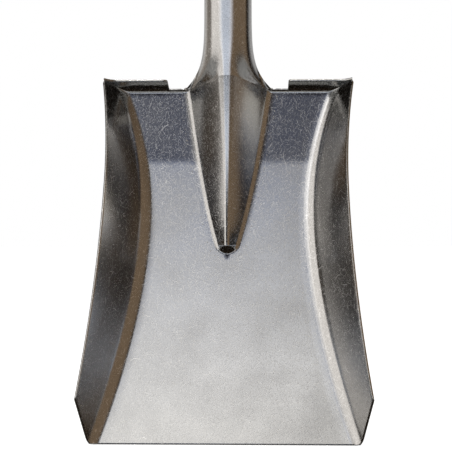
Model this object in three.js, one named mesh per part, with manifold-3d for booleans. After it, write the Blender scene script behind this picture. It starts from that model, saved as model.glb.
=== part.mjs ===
// Square mouth shovel: a pressed steel pan with turned treads and a raised frog, a flared socket welded to its
// neck, a plate that closes the frog at the back, and an ash shaft split and bent into a Y round a crossbar.
// Millimetres, +Z up. The shovel stands upright, mouth down, and faces -Y. The origin is the middle of the mouth's
// cut edge. The head is described with its pan upright and the shaft leaning forward over it, and then the whole
// shovel is turned back by that lean, so that the shaft is upright.
import * as THREE from "three";
import { mergeVertices } from "three/addons/utils/BufferGeometryUtils.js";
import Module from "manifold-3d";

const wasm = await Module();
wasm.setup();

// Driving dimensions of the pan.
const pan = {
  length: 321, // mouth to the top of the treads
  thickness: 2, // sheet
  widest: 247, // inside the rims, at the top of the corner cuts; the sheet's edge adds its own width
  waist: 206.8, // inside the rims, at their narrowest
  waistHeight: 236,
  top: 218.8, // inside the rims, at the treads' outer ends
  mouth: 228, // cut edge, between the corner cuts' lines
  cutHeight: 33, // how far the corner cuts run up the rims
  cornerRadius: 4,
  dish: 5, // how far the floor's middle lies behind its two ends
  draw: 2.7, // how far it lies behind that dish at the shallow crease below the treads
  drawHeight: 253, // of the crease
  creaseWaist: 132, // flat floor between the creases, at its narrowest
  creaseWaistHeight: 203,
  creaseMouth: 210,
  creaseTop: 178,
  creaseRadius: 15,
  wallAngle: THREE.MathUtils.degToRad(52), // side walls, up from the floor
};
const rimBowShare = 1.75; // power of the rims' outline below the waist
const creaseBowShare = 1.7; // power of the creases' line below the waist

// Treads: the top edge turned forward, full depth outside the notch and only part of the bend inside it.
const tread = {
  bendRadius: 4.5, // inside of the bend
  reach: 18.5, // from the floor's face to the free edge
  notch: 105.2, // between the two treads' inner ends
  notchBlend: 0.4, // width of the step in the grid where a tread ends
};
const bareBendShare = 0.56; // part of the right angle that the bare top edge is bent through
const cornerPower = 3; // how squarely wall, frog and bend meet

// Frog: the hollow ridge that carries the socket's line down into the pan.
const frog = {
  tipHeight: 168, // height of its lower end above the mouth
  tipHalf: 8.2, // half width of its lower end
  tipRise: 6, // height of its lower end above the floor
  tipLength: 6.5, // length over which the lower end rises
  neckHalf: 39, // half width at the neck
  filletRadius: 7,
  noseRadius: 3.5, // along the crest, near its lower end
  neckNoseRadius: 11, // along the crest, at the neck
};
const frogSpreadShare = 0.77; // power of the frog's outline
const lean = THREE.MathUtils.degToRad(17); // shaft, forward of the pan

// Socket: a round tube whose foot flares into the frog's own section, where it is welded to the neck.
const socket = {
  waistRadius: 20.6, // outside, above the flare
  mouthRadius: 21.4, // outside, at the open end
  wall: 1.8,
  length: 218, // along the shaft, from the neck to the open end
  flareLength: 11.7, // height over which the flare falls to about a third
  turnLength: 55, // height over which its sections turn square to the shaft
};
const weldGap = 0.3; // between pieces that are joined

// Plate that closes the frog at the back.
const plate = {
  thickness: 1.6,
  overlap: 5, // beyond the frog's edge
  swell: 2.7, // of its upper end, out to the back of the socket's foot
};

// Wooden shaft. Heights are along the shaft, from the neck.
const shaft = {
  footHeight: 46,
  endRadius: 16.5, // at the foot, inside the socket
  fit: 0.3, // clearance in the socket's bore
  shoulderRadius: 20.4, // just above the socket
  shoulderLength: 26,
  gripRadius: 18.8, // through the middle of its length
  throatHeight: 512, // where the split starts
  crossbarHeight: 672,
  topMargin: 17, // wood above the crossbar's centre line
  spread: 130, // over the two arms at the crossbar
  armThickness: 15,
  armWidth: 31,
  rootOverlap: 6, // how far the arms run down into the shaft
  kerf: 1.6, // saw cut between the arms at the throat
};
const swellShare = 0.5; // where along the shaft it is slimmest

// Crossbar, its through rivet and the rivets' washers.
const crossbar = { radius: 15.5, endRadius: 13.5, endGap: 0.3, endRound: 1.5 };
const rivet = {
  radius: 3,
  clearance: 0.2,
  headRadius: 6,
  headRise: 2.2,
  seatGap: 0.3,
  washerRadius: 8.5,
  washerThickness: 1.4,
  throatDrop: 16, // below the start of the split
};
const socketRivet = { radius: 2.5, headRadius: 5.5, headRise: 1.8, heights: [128, 184], flat: 0.6 };

// How finely the curved surfaces are divided.
const mesh = {
  frogSteps: 6,
  floorSteps: 3,
  sideSteps: 8,
  bendSteps: 4,
  treadSteps: 2,
  socketSides: 32,
  shaftSides: 28,
  armSteps: 12,
  armSides: 14,
  pinSides: 16,
};

const steel = new THREE.MeshStandardMaterial({ color: 0xb9b9b8, roughness: 0.34, metalness: 1 });
const rivetSteel = new THREE.MeshStandardMaterial({ color: 0xa9a8a5, roughness: 0.3, metalness: 1 });
const ash = new THREE.MeshStandardMaterial({ color: 0xd2ad78, roughness: 0.5, metalness: 0 });

const { sin, cos, tan, atan, sqrt, min, max, exp, PI } = Math;
const mix = THREE.MathUtils.lerp;
const clamp = THREE.MathUtils.clamp;
const smooth = (x) => THREE.MathUtils.smoothstep(x, 0, 1);

// A point from its place across, its depth in front of the mouth's edge, and its height.
const place = (x, depth, z) => new THREE.Vector3(x, -depth, z);

// Half the width inside the rims at a height, with the mouth's corners cut and rounded.
function rimHalf(z) {
  const above = (z - pan.waistHeight) / (pan.length - pan.waistHeight);
  const below = (pan.waistHeight - z) / (pan.waistHeight - pan.cutHeight);
  if (z >= pan.waistHeight) return mix(pan.waist, pan.top, above ** 2) / 2;
  if (z >= pan.cutHeight) return mix(pan.waist, pan.widest, below ** rimBowShare) / 2;
  const cut = mix(pan.mouth, pan.widest, z / pan.cutHeight) / 2;
  const inside = max(pan.cornerRadius - z, 0);
  return cut - (pan.cornerRadius - sqrt(pan.cornerRadius ** 2 - inside ** 2)) / 2;
}

// Half the width of the flat floor at a height.
function creaseHalf(z) {
  const up = (z - pan.creaseWaistHeight) / (pan.length - pan.creaseWaistHeight);
  const down = (pan.creaseWaistHeight - z) / pan.creaseWaistHeight;
  if (up >= 0) return mix(pan.creaseWaist, pan.creaseTop, up ** 2) / 2;
  return mix(pan.creaseWaist, pan.creaseMouth, down ** creaseBowShare) / 2;
}

// Depth of the floor's face: its middle lies behind its ends, and above a shallow crease it runs forward to the
// treads.
function drawDepth(z) {
  if (z < pan.drawHeight) return pan.draw * (1 - (1 - z / pan.drawHeight) ** 2);
  return pan.draw * clamp((neckHeight - z) / (neckHeight - pan.drawHeight), 0, 1);
}
const dishDepth = (z) => pan.dish * (1 - ((2 * z) / pan.length - 1) ** 2);
const floorDepth = (z) => pan.thickness / 2 - dishDepth(z) - drawDepth(z);

// The frog's outline and its crest, above the floor's face. The crest runs into the front of the socket at the neck
// and in its direction, and the back of the socket lies flush with the plate behind the frog.
const bendStart = pan.length - pan.thickness - tread.bendRadius;
const neckHeight = bendStart + tread.bendRadius * sin((bareBendShare * PI) / 2);
const footBack = pan.thickness + weldGap + plate.thickness + plate.swell;
const neckRise = (2 * socket.waistRadius) / cos(lean) - footBack;
const frogLength = neckHeight - frog.tipHeight;
const alongFrog = (z) => clamp((z - frog.tipHeight) / frogLength, 0, 1);
const frogHalf = (z) => mix(frog.tipHalf, frog.neckHalf, alongFrog(z) ** frogSpreadShare);
const crestBow = (frogLength * tan(lean)) / (neckRise - frog.tipRise) - 1;
function frogRise(z, share) {
  const along = (z - frog.tipHeight) / frogLength;
  const rise = mix(frog.tipRise, neckRise, along + crestBow * along * (along - 1));
  const tipRound = frog.tipHalf * (1 - sqrt(1 - min(share, 1) ** 2));
  return rise * smooth((z - frog.tipHeight - tipRound) / frog.tipLength);
}

// Radius along the frog's crest.
const noseRadius = (z) => mix(frog.noseRadius, frog.neckNoseRadius, alongFrog(z) ** 2);

// A point on a rounded crest with straight flanks that run out in fillets, at a share of the way from the crest to
// its edge.
function crestPoint(half, rise, nose, share) {
  if (rise < half / 1000) return { x: half * share, depth: 0 };
  let turn = 2 * atan(rise / half);
  let flank = 0;
  const whole = half / sin(turn);
  const inner = min(frog.filletRadius, whole / 2);
  const outer = min(nose, whole - inner);
  const both = outer + inner;
  if (outer === nose) {
    turn = Math.asin(both / Math.hypot(half, both - rise)) - Math.atan2(both - rise, half);
    flank = max(0, (half - both * sin(turn)) / cos(turn));
  }
  const gone = share * (turn * both + flank);
  if (gone <= turn * outer) {
    return { x: outer * sin(gone / outer), depth: rise - outer * (1 - cos(gone / outer)) };
  }
  const down = min(flank, gone - turn * outer);
  const left = turn - (gone - turn * outer - down) / inner;
  return {
    x: half - inner * sin(left) - (flank - down) * cos(turn),
    depth: inner * (1 - cos(left)) + (flank - down) * sin(turn),
  };
}

// A point on the crease and the side wall, at a share of the way from the floor to the rim.
function sidePoint(z, share) {
  const crease = creaseHalf(z);
  const width = rimHalf(z) - crease;
  const radius = pan.creaseRadius;
  const bend = min(pan.wallAngle, Math.asin(min(1, width / radius)));
  const wall = max(0, (width - radius * sin(bend)) / cos(pan.wallAngle));
  const gone = share * (radius * bend + wall);
  const turned = min(gone / radius, bend);
  const straight = max(0, gone - radius * bend);
  return {
    x: crease + radius * sin(turned) + straight * cos(pan.wallAngle),
    depth: radius * (1 - cos(turned)) + straight * sin(pan.wallAngle),
  };
}

// The pan's face. Across, u runs over the frog (0 to 1), the floor (1 to 2) and the side (2 to 3). Along, v is
// the length of sheet from the mouth, which turns forward over the bend into the tread.
const bendLength = (tread.bendRadius * PI) / 2;
function panPoint(u, v) {
  const turned = clamp((v - bendStart) / tread.bendRadius, 0, PI / 2);
  const z = min(v, bendStart) + tread.bendRadius * sin(turned);
  const forward = tread.bendRadius * (1 - cos(turned)) + max(0, v - bendStart - bendLength);
  const side = Math.abs(u);
  let point;
  if (side <= 1) point = crestPoint(frogHalf(z), frogRise(z, side), noseRadius(z), side);
  else if (side <= 2) point = { x: mix(frogHalf(z), creaseHalf(z), side - 1), depth: 0 };
  else point = sidePoint(z, side - 2);
  const depth = (point.depth ** cornerPower + forward ** cornerPower) ** (1 / cornerPower);
  // The crease runs out over the frog and up the sides, so that the crest and the rims stay straight.
  const keptShare = side <= 1 ? (1 - side ** 2) * alongFrog(z) : max(0, side - 2);
  return place(Math.sign(u) * point.x, floorDepth(z) + keptShare * drawDepth(z) + depth, z);
}

// The same point on the back of the sheet, square to its face.
function panBack(u, v) {
  const du = 0.004;
  const dv = pan.thickness / 20;
  const across = panPoint(min(3, u + du), v).sub(panPoint(max(-3, u - du), v));
  const along = panPoint(u, v + dv).sub(panPoint(u, max(0, v - dv)));
  return panPoint(u, v).addScaledVector(along.cross(across).normalize(), pan.thickness);
}

// A closed geometry from rows of points: a face, a back and the four edges between them.
function sheetSolid(face, back) {
  const rows = face.length;
  const columns = face[0].length;
  const points = [...face.flat(), ...back.flat()];
  const index = [];
  const at = (side, r, c) => side * rows * columns + r * columns + c;
  const quad = (a, b, c, d) => index.push(a, b, c, a, c, d);
  for (let r = 0; r + 1 < rows; r++) {
    for (let c = 0; c + 1 < columns; c++) {
      quad(at(0, r, c), at(0, r, c + 1), at(0, r + 1, c + 1), at(0, r + 1, c));
      quad(at(1, r, c), at(1, r + 1, c), at(1, r + 1, c + 1), at(1, r, c + 1));
    }
    quad(at(0, r, 0), at(0, r + 1, 0), at(1, r + 1, 0), at(1, r, 0));
    quad(at(0, r + 1, columns - 1), at(0, r, columns - 1), at(1, r, columns - 1), at(1, r + 1, columns - 1));
  }
  for (let c = 0; c + 1 < columns; c++) {
    quad(at(0, 0, c + 1), at(0, 0, c), at(1, 0, c), at(1, 0, c + 1));
    quad(at(0, rows - 1, c), at(0, rows - 1, c + 1), at(1, rows - 1, c + 1), at(1, rows - 1, c));
  }
  return indexed(points, index);
}

// A closed geometry from rings of points, each as long as the next, with flat ends.
function ringSolid(rings) {
  const sides = rings[0].length;
  const points = rings.flat();
  const index = [];
  for (let r = 0; r + 1 < rings.length; r++) {
    for (let s = 0; s < sides; s++) {
      const [a, b] = [r * sides + s, r * sides + ((s + 1) % sides)];
      index.push(a, b, b + sides, a, b + sides, a + sides);
    }
  }
  const last = (rings.length - 1) * sides;
  for (let s = 1; s + 1 < sides; s++) {
    index.push(0, s + 1, s, last, last + s, last + s + 1);
  }
  return indexed(points, index);
}

function indexed(points, index) {
  const geometry = new THREE.BufferGeometry().setFromPoints(points);
  geometry.setIndex(index);
  return geometry;
}

// Solids for cutting and joining, and geometries back from them.
function solidOf(geometry) {
  const bare = new THREE.BufferGeometry().setAttribute("position", geometry.getAttribute("position"));
  if (geometry.index) bare.setIndex(geometry.index);
  const merged = mergeVertices(bare, pan.thickness / 2000);
  return new wasm.Manifold(
    new wasm.Mesh({
      numProp: 3,
      vertProperties: merged.attributes.position.array,
      triVerts: new Uint32Array(merged.index.array),
    }),
  );
}
function geometryOf(solid) {
  const made = solid.getMesh();
  const geometry = new THREE.BufferGeometry();
  geometry.setAttribute("position", new THREE.BufferAttribute(made.vertProperties, made.numProp));
  geometry.setIndex(new THREE.BufferAttribute(made.triVerts, 1));
  return geometry;
}

// A turned solid along +Z from [radius, height] pairs that start and end on the axis.
function turned(profile, sides) {
  const geometry = new THREE.LatheGeometry(
    profile.map(([radius, height]) => new THREE.Vector2(radius, height)),
    sides,
  );
  return geometry.rotateX(PI / 2);
}

// A round bar along X, from one place to another, for rivet shanks and the holes that they pass through.
const barAlongX = (radius, from, to) =>
  turned([[0, from], [radius, from], [radius, to], [0, to]], mesh.pinSides).rotateY(PI / 2);

function named(name, geometry, material) {
  const made = new THREE.Mesh(geometry, material);
  made.name = name;
  return made;
}

// Pan, treads and frog, pressed from one sheet.
function bladeMesh() {
  const half = [];
  for (let i = 1; i <= mesh.frogSteps; i++) half.push(i / mesh.frogSteps);
  const topHalf = (u) => panPoint(u, bendStart).x;
  const notchAt = (x) => 1 + (x - topHalf(1)) / (topHalf(2) - topHalf(1));
  const [bareEnd, treadEnd] = [-1, 1].map((side) => notchAt((tread.notch + side * tread.notchBlend) / 2));
  half.push(bareEnd, treadEnd);
  for (let i = 1; i <= mesh.floorSteps; i++) half.push(mix(treadEnd, 2, i / mesh.floorSteps));
  for (let i = 1; i <= mesh.sideSteps; i++) half.push(2 + i / mesh.sideSteps);
  const columns = [...half.map((u) => -u).reverse(), 0, ...half];

  const tip = frog.tipHeight;
  const rows = [0, 0.4, 1].map((share) => share * pan.cornerRadius);
  for (const share of [0.5, 1]) rows.push(mix(pan.cornerRadius, pan.cutHeight, share));
  for (const share of [0.2, 0.4, 0.6, 0.8, 1]) rows.push(mix(pan.cutHeight, tip, share));
  const ridgeFrom = tip + frog.tipLength + frog.tipHalf;
  for (const share of [0.15, 0.3, 0.5, 0.75, 1]) rows.push(mix(tip, ridgeFrom, share));
  for (const share of [0.25, 0.5, 0.75, 1]) rows.push(mix(ridgeFrom, pan.drawHeight, share));
  for (const share of [0.3, 0.64, 1]) rows.push(mix(pan.drawHeight, bendStart, share));

  // Past the start of the bend, a column runs on to the tread's free edge or stops at the bare edge.
  const bareLength = bendLength * bareBendShare;
  const fullLength = bendLength + tread.reach - tread.bendRadius;
  const extra = mesh.bendSteps + mesh.treadSteps;
  const onwards = (u, step) => {
    if (Math.abs(u) < treadEnd) return bendStart + (bareLength * step) / extra;
    if (step <= mesh.bendSteps) return bendStart + (bendLength * step) / mesh.bendSteps;
    return bendStart + mix(bendLength, fullLength, (step - mesh.bendSteps) / mesh.treadSteps);
  };
  const lengthAt = (u, r) => (r < rows.length ? rows[r] : onwards(u, r - rows.length + 1));
  const grid = (point) =>
    Array.from({ length: rows.length + extra }, (_, r) => columns.map((u) => point(u, lengthAt(u, r))));
  const face = grid(panPoint);
  const back = grid(panBack);
  back[0].forEach((point) => point.setZ(0));
  const trimmed = back.map((row) => row.filter((_, c) => Math.abs(columns[c]) <= 1)).flat();
  trimmed.forEach((point) => point.setZ(min(point.z, neckHeight)));
  return named("blade", sheetSolid(face, back), steel);
}

// The socket's centre line at a height along the shaft from the neck, and the turn of the section there.
const socketBase = neckHeight + weldGap;
const axisDepth = floorDepth(neckHeight) - footBack + socket.waistRadius / cos(lean);
const axisPoint = (along) => place(0, axisDepth + along * sin(lean), socketBase + along * cos(lean));

// The foot's outline at an angle from its front: the frog's section, closed by a shallow bow behind. Depths are
// from the floor's face.
function footPoint(angle, inset) {
  const half = frog.neckHalf - inset;
  const share = Math.abs(angle) / (PI / 2);
  if (share > 1) return { x: half * sin(angle), depth: (footBack - inset) * cos(angle) };
  const front = crestPoint(half, neckRise - inset, frog.neckNoseRadius - inset, share);
  return { x: Math.sign(angle) * front.x, depth: front.depth };
}

// One section of the socket, outside or inset by its wall: the foot's outline, and round above the flare.
function socketRing(along, inset) {
  const flare = exp(-along / socket.flareLength);
  const radius = mix(socket.waistRadius, socket.mouthRadius, along / socket.length);
  const turn = lean * smooth(along / socket.turnLength);
  const forward = new THREE.Vector3(0, -cos(turn), -sin(turn));
  const centre = axisPoint(along);
  return Array.from({ length: mesh.socketSides }, (_, s) => {
    const angle = (2 * PI * s) / mesh.socketSides - PI;
    const foot = footPoint(angle, inset);
    const footReach = foot.depth + floorDepth(neckHeight) - axisDepth;
    const roundReach = (radius / cos(lean - turn) - inset) * cos(angle);
    const point = centre.clone().addScaledVector(forward, mix(roundReach, footReach, flare));
    return point.setX(mix((radius - inset) * sin(angle), foot.x, flare));
  });
}

// Front-to-back hole or pin through the socket and shaft at a height, as a solid in the shovel's frame.
const alongShaft = new THREE.Matrix4()
  .makeRotationX(lean)
  .setPosition(axisPoint(0));
function throughSocket(radius, along) {
  const reach = socket.mouthRadius * 2;
  const bar = turned([[0, -reach], [radius, -reach], [radius, reach], [0, reach]], mesh.pinSides);
  return bar.rotateX(PI / 2).translate(0, 0, along);
}

function socketMesh() {
  const flareShares = [0, 0.25, 0.55, 0.9, 1.4, 2, 2.8, 4, 5];
  const heights = flareShares.map((share) => share * socket.flareLength);
  heights.push(...socketRivet.heights, socket.length);
  const outside = heights.map((along) => socketRing(along, 0));
  const bore = heights.map((along) => socketRing(along, socket.wall));
  const points = [...outside.flat(), ...bore.flat()];
  const sides = mesh.socketSides;
  const index = [];
  const at = (skin, r, s) => (skin * heights.length + r) * sides + (s % sides);
  const quad = (a, b, c, d) => index.push(a, b, c, a, c, d);
  const last = heights.length - 1;
  for (let s = 0; s < sides; s++) {
    for (let r = 0; r < last; r++) {
      quad(at(0, r, s), at(0, r, s + 1), at(0, r + 1, s + 1), at(0, r + 1, s));
      quad(at(1, r, s), at(1, r + 1, s), at(1, r + 1, s + 1), at(1, r, s + 1));
    }
    quad(at(0, 0, s), at(1, 0, s), at(1, 0, s + 1), at(0, 0, s + 1));
    quad(at(0, last, s), at(0, last, s + 1), at(1, last, s + 1), at(1, last, s));
  }
  let solid = solidOf(indexed(points, index));
  for (const along of socketRivet.heights) {
    const hole = throughSocket(socketRivet.radius + rivet.clearance, along).applyMatrix4(alongShaft);
    solid = solid.subtract(solidOf(hole));
  }
  return named("socket", geometryOf(solid), steel);
}

// Rounded triangle that follows the pan's back and covers the frog's hollow. Its upper end swells out to lie flush
// with the back of the socket's foot.
function backPlateMesh() {
  const bottom = frog.tipHeight - plate.overlap;
  const heights = [0, 0.03, 0.1, 0.22, 0.45, 0.72, 1].map((share) => mix(bottom, pan.drawHeight, share));
  for (const share of [0.3, 0.64, 1]) heights.push(mix(pan.drawHeight, neckHeight, share));
  const across = [-1, -0.75, -0.4, 0, 0.4, 0.75, 1];
  const face = pan.thickness + weldGap;
  const half = (z) => {
    const round = min(1, (z - bottom) / (plate.overlap * 2));
    return (frogHalf(z) + plate.overlap) * sqrt(max(1 - (1 - round) ** 2, 0.06));
  };
  const layer = (depth) =>
    heights.map((z) => {
      const swell = plate.swell * smooth((z - bottom) / (neckHeight - bottom));
      return across.map((side) => {
        const out = swell * (1 - side ** 2);
        return place(side * half(z), floorDepth(z) - depth - out, z);
      });
    });
  return named("back_plate", sheetSolid(layer(face), layer(face + plate.thickness)), steel);
}

// The shaft's outline, from its foot in the socket to the throat.
function shaftRadius(along) {
  const boreAt = (height) =>
    mix(socket.waistRadius, socket.mouthRadius, height / socket.length) - socket.wall - shaft.fit;
  if (along <= socket.length) return boreAt(along);
  const above = (along - socket.length) / shaft.shoulderLength;
  const slim = (along - socket.length) / (shaft.throatHeight - socket.length);
  const body = mix(shaft.shoulderRadius, shaft.gripRadius, smooth(slim / swellShare));
  return mix(boreAt(socket.length), body, smooth(above));
}

// One arm of the Y: half the shaft at the throat, bent out and drawn down to a flat strap at the crossbar.
function armRings(side) {
  const length = shaft.crossbarHeight + shaft.topMargin - shaft.throatHeight;
  const throatRadius = shaftRadius(shaft.throatHeight);
  const straight = shaft.crossbarHeight - shaft.topMargin;
  const rings = [];
  for (let i = -1; i <= mesh.armSteps; i++) {
    const share = max(0, i / mesh.armSteps);
    const along = i < 0 ? shaft.throatHeight - shaft.rootOverlap : shaft.throatHeight + length * share;
    const bent = smooth((along - shaft.throatHeight) / (straight - shaft.throatHeight));
    const inner = mix(shaft.kerf / 2, shaft.spread / 2 - shaft.armThickness, bent);
    const thick = mix(throatRadius - shaft.kerf / 2, shaft.armThickness, bent);
    const wide = mix(throatRadius, shaft.armWidth / 2, bent);
    const above = max(0, along - shaft.crossbarHeight) / shaft.topMargin;
    const round = sqrt(max(1 - above ** 2, 0.12));
    rings.push(armRing(side, inner, thick, wide * round, along));
  }
  return rings;
}

// A section of an arm: flat on the inside, round on the outside.
function armRing(side, inner, thick, wide, along) {
  return Array.from({ length: mesh.armSides }, (_, s) => {
    const angle = (PI * s) / (mesh.armSides - 1) - PI / 2;
    return new THREE.Vector3(side * (inner + thick * cos(angle)), side * wide * sin(angle), along);
  });
}

function shaftMesh() {
  const heights = [shaft.footHeight, socket.length];
  for (const share of [0.25, 0.5, 0.75, 1]) heights.push(socket.length + share * shaft.shoulderLength);
  const body = [0.15, 0.35, 0.5, 1];
  for (const share of body) {
    heights.push(mix(socket.length + shaft.shoulderLength, shaft.throatHeight, share));
  }
  const foot = shaft.footHeight + shaft.endRadius / 2;
  const profile = [[0, shaft.footHeight], [shaft.endRadius, shaft.footHeight], [shaftRadius(foot), foot]];
  for (const along of heights.slice(1)) profile.push([shaftRadius(along), along]);
  profile.push([0, shaft.throatHeight]);
  let solid = solidOf(turned(profile, mesh.shaftSides));
  for (const side of [-1, 1]) solid = solid.add(solidOf(ringSolid(armRings(side))));
  const hole = rivet.radius + rivet.clearance;
  for (const height of [shaft.crossbarHeight, shaft.throatHeight - rivet.throatDrop]) {
    const bar = barAlongX(hole, -shaft.spread, shaft.spread).translate(0, 0, height);
    solid = solid.subtract(solidOf(bar));
  }
  for (const along of socketRivet.heights) {
    solid = solid.subtract(solidOf(throughSocket(socketRivet.radius + rivet.clearance, along)));
  }
  return named("shaft", geometryOf(solid), ash);
}

// A rivet along X with a domed head at each end, resting on washers or on the piece itself.
function rivetGeometry(radius, headRadius, headRise, halfLength, flat) {
  const end = halfLength + flat + headRise;
  const dome = [1, 0.7, 0.4];
  const head = dome.map((share) => [headRadius * sqrt(share), mix(end, halfLength + flat, share)]);
  const up = [[radius, halfLength], [headRadius, halfLength], ...head, [0, end]];
  const down = up.map(([r, z]) => [r, -z]).reverse();
  return turned([...down, ...up], mesh.pinSides).rotateY(PI / 2);
}

function washerGeometry(centre) {
  const bore = rivet.radius + rivet.clearance;
  const half = rivet.washerThickness / 2;
  const section = [[bore, -half], [rivet.washerRadius, -half], [rivet.washerRadius, half], [bore, half]];
  return turned([...section, section[0]], mesh.pinSides).rotateY(PI / 2).translate(centre, 0, 0);
}

// A rivet, and the washer under each of its heads, through a piece that is this wide.
function rivetAndWashers(name, halfWidth, height) {
  const washer = halfWidth + rivet.seatGap + rivet.washerThickness / 2;
  const headFrom = halfWidth + rivet.seatGap * 2 + rivet.washerThickness;
  const made = [
    named(
      name + "_rivet",
      rivetGeometry(rivet.radius, rivet.headRadius, rivet.headRise, headFrom, rivet.seatGap),
      rivetSteel,
    ),
    named(name + "_washer_left", washerGeometry(-washer), rivetSteel),
    named(name + "_washer_right", washerGeometry(washer), rivetSteel),
  ];
  made.forEach((piece) => piece.position.setZ(height));
  return made;
}

function crossbarMesh() {
  const half = shaft.spread / 2 - shaft.armThickness - crossbar.endGap;
  const bore = rivet.radius + rivet.clearance;
  const outline = [
    [bore, -half],
    [crossbar.endRadius - crossbar.endRound, -half],
    [crossbar.endRadius, -half + crossbar.endRound],
  ];
  for (const share of [-0.6, -0.3, 0, 0.3, 0.6]) {
    outline.push([mix(crossbar.radius, crossbar.endRadius, (share / 0.97) ** 2), half * share]);
  }
  outline.push(
    [crossbar.endRadius, half - crossbar.endRound],
    [crossbar.endRadius - crossbar.endRound, half],
    [bore, half],
  );
  const made = turned([...outline, outline[0]], mesh.shaftSides).rotateY(PI / 2);
  const piece = named("grip_crossbar", made, ash);
  piece.position.setZ(shaft.crossbarHeight);
  return piece;
}

const shovel = new THREE.Group();
shovel.add(bladeMesh(), socketMesh(), backPlateMesh());

const handle = new THREE.Group();
handle.position.copy(axisPoint(0));
handle.rotation.x = lean;
handle.add(shaftMesh(), crossbarMesh());
handle.add(...rivetAndWashers("grip", shaft.spread / 2, shaft.crossbarHeight));
const throat = shaft.throatHeight - rivet.throatDrop;
handle.add(...rivetAndWashers("throat", shaftRadius(throat), throat));
socketRivet.heights.forEach((along, i) => {
  const radius = mix(socket.waistRadius, socket.mouthRadius, along / socket.length) + rivet.seatGap;
  const { radius: shank, headRadius, headRise, flat } = socketRivet;
  const piece = named(
    "socket_rivet_" + ["lower", "upper"][i],
    rivetGeometry(shank, headRadius, headRise, radius, flat).rotateZ(PI / 2),
    rivetSteel,
  );
  piece.position.setZ(along);
  handle.add(piece);
});
shovel.add(handle);
shovel.rotation.x = -lean;

export default shovel;
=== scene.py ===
"""Square mouth shovel: the finished pieces, their materials and the studio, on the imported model's frame.

The head is described as the part's source describes it: with its pan upright and the shaft leaning forward
over it. `upright` then turns it back by that lean. Lengths are in metres, +Z is up, and the hollow face looks
towards -Y.
"""

import math

import bmesh
import bpy
import numpy as np
from bpy.props import FloatProperty, FloatVectorProperty, PointerProperty
from mathutils import Matrix, Vector


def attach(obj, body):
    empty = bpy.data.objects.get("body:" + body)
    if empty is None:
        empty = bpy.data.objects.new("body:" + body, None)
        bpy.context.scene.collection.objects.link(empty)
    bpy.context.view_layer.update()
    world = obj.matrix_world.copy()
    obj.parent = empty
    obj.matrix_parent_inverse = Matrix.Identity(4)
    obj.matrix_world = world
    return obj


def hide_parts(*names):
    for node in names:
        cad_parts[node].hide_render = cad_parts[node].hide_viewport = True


bl_info = {
    "name": "Square Mouth Shovel",
    "version": (1, 0, 0),
    "blender": (4, 5, 0),
    "location": "3D View > Sidebar > Shovel",
    "description": "Builds a square mouth shovel with a welded socket and a split ash handle",
    "category": "Add Mesh",
}

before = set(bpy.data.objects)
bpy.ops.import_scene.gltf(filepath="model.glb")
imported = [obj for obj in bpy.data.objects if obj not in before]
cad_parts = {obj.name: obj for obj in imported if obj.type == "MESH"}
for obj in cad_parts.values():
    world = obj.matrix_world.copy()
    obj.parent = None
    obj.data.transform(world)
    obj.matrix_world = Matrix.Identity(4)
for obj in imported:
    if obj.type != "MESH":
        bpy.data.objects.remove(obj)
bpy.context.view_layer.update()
BODY = "root"
MM = 0.001


def length(name, millimetres, description):
    """A size that a user may change, given in millimetres and kept in metres."""
    return FloatProperty(
        name=name, description=description, default=millimetres * MM, min=0.0, unit="LENGTH", precision=5
    )


def colour(name, sheen, description):
    """A colour that a user may change, given as sRGB hex."""
    return FloatVectorProperty(
        name=name, description=description, default=linear(sheen), size=3, subtype="COLOR", min=0.0, max=1.0
    )


def share_of_one(name, value, description):
    """A setting between 0 and 1."""
    return FloatProperty(
        name=name, description=description, default=value, min=0.0, max=1.0, subtype="FACTOR"
    )


def degrees(name, value, description):
    """An angle that a user may change, given in degrees and kept in radians."""
    return FloatProperty(name=name, description=description, default=math.radians(value), subtype="ANGLE")


def linear(sheen):
    """Linear red, green and blue from an sRGB hex value."""
    parts = [int(sheen[i : i + 2], 16) / 255 for i in (1, 3, 5)]
    return tuple(c / 12.92 if c <= 0.04045 else ((c + 0.055) / 1.055) ** 2.4 for c in parts)


class PanSizes(bpy.types.PropertyGroup):
    """The pressed pan, its side walls and its dished floor."""

    length: length("Length", 321, "From the mouth to the top of the treads")
    thickness: length("Thickness", 2, "Thickness of the sheet")
    widest: length("Widest", 247, "Width inside the rims, at the top of the corner cuts")
    waist: length("Waist", 206.8, "Width inside the rims, at their narrowest")
    waist_height: length("Waist Height", 236, "Height of the waist above the mouth")
    top: length("Top", 218.8, "Width inside the rims, at the treads' outer ends")
    mouth: length("Mouth", 228, "Width of the cut edge, between the corner cuts' lines")
    cut_height: length("Cut Height", 33, "How far the corner cuts run up the rims")
    corner_radius: length("Corner Radius", 4, "Rounding of the mouth's corners")
    dish: length("Dish", 5, "How far the floor's middle lies behind its two ends")
    draw: length("Draw", 2.7, "How far the floor lies behind its dish where it starts up to the treads")
    draw_height: length("Draw Height", 253, "Height of the shallow crease across the floor where it does so")
    crease_waist: length("Crease Waist", 132, "Width of the flat floor, at its narrowest")
    crease_waist_height: length("Crease Waist Height", 203, "Height of the floor's narrowest place")
    crease_mouth: length("Crease Mouth", 210, "Width of the flat floor at the mouth")
    crease_top: length("Crease Top", 178, "Width of the flat floor at the treads")
    crease_radius: length("Crease Radius", 15, "Bend between the floor and the side walls")
    wall_angle: degrees("Wall Angle", 52, "Slope of the side walls, up from the floor")
    edge_round: length("Edge Round", 0.45, "Rounding of the sheet's cut edges")


class TreadSizes(bpy.types.PropertyGroup):
    """The top edge, turned forward into two treads."""

    bend_radius: length("Bend Radius", 4.5, "Inside radius of the bend")
    reach: length("Reach", 18.5, "From the floor's face to the free edge")
    notch: length("Notch", 105.2, "Distance between the two treads' inner ends")
    corner: length("Corner", 2.6, "Rounding of the treads' inner corners")


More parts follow.
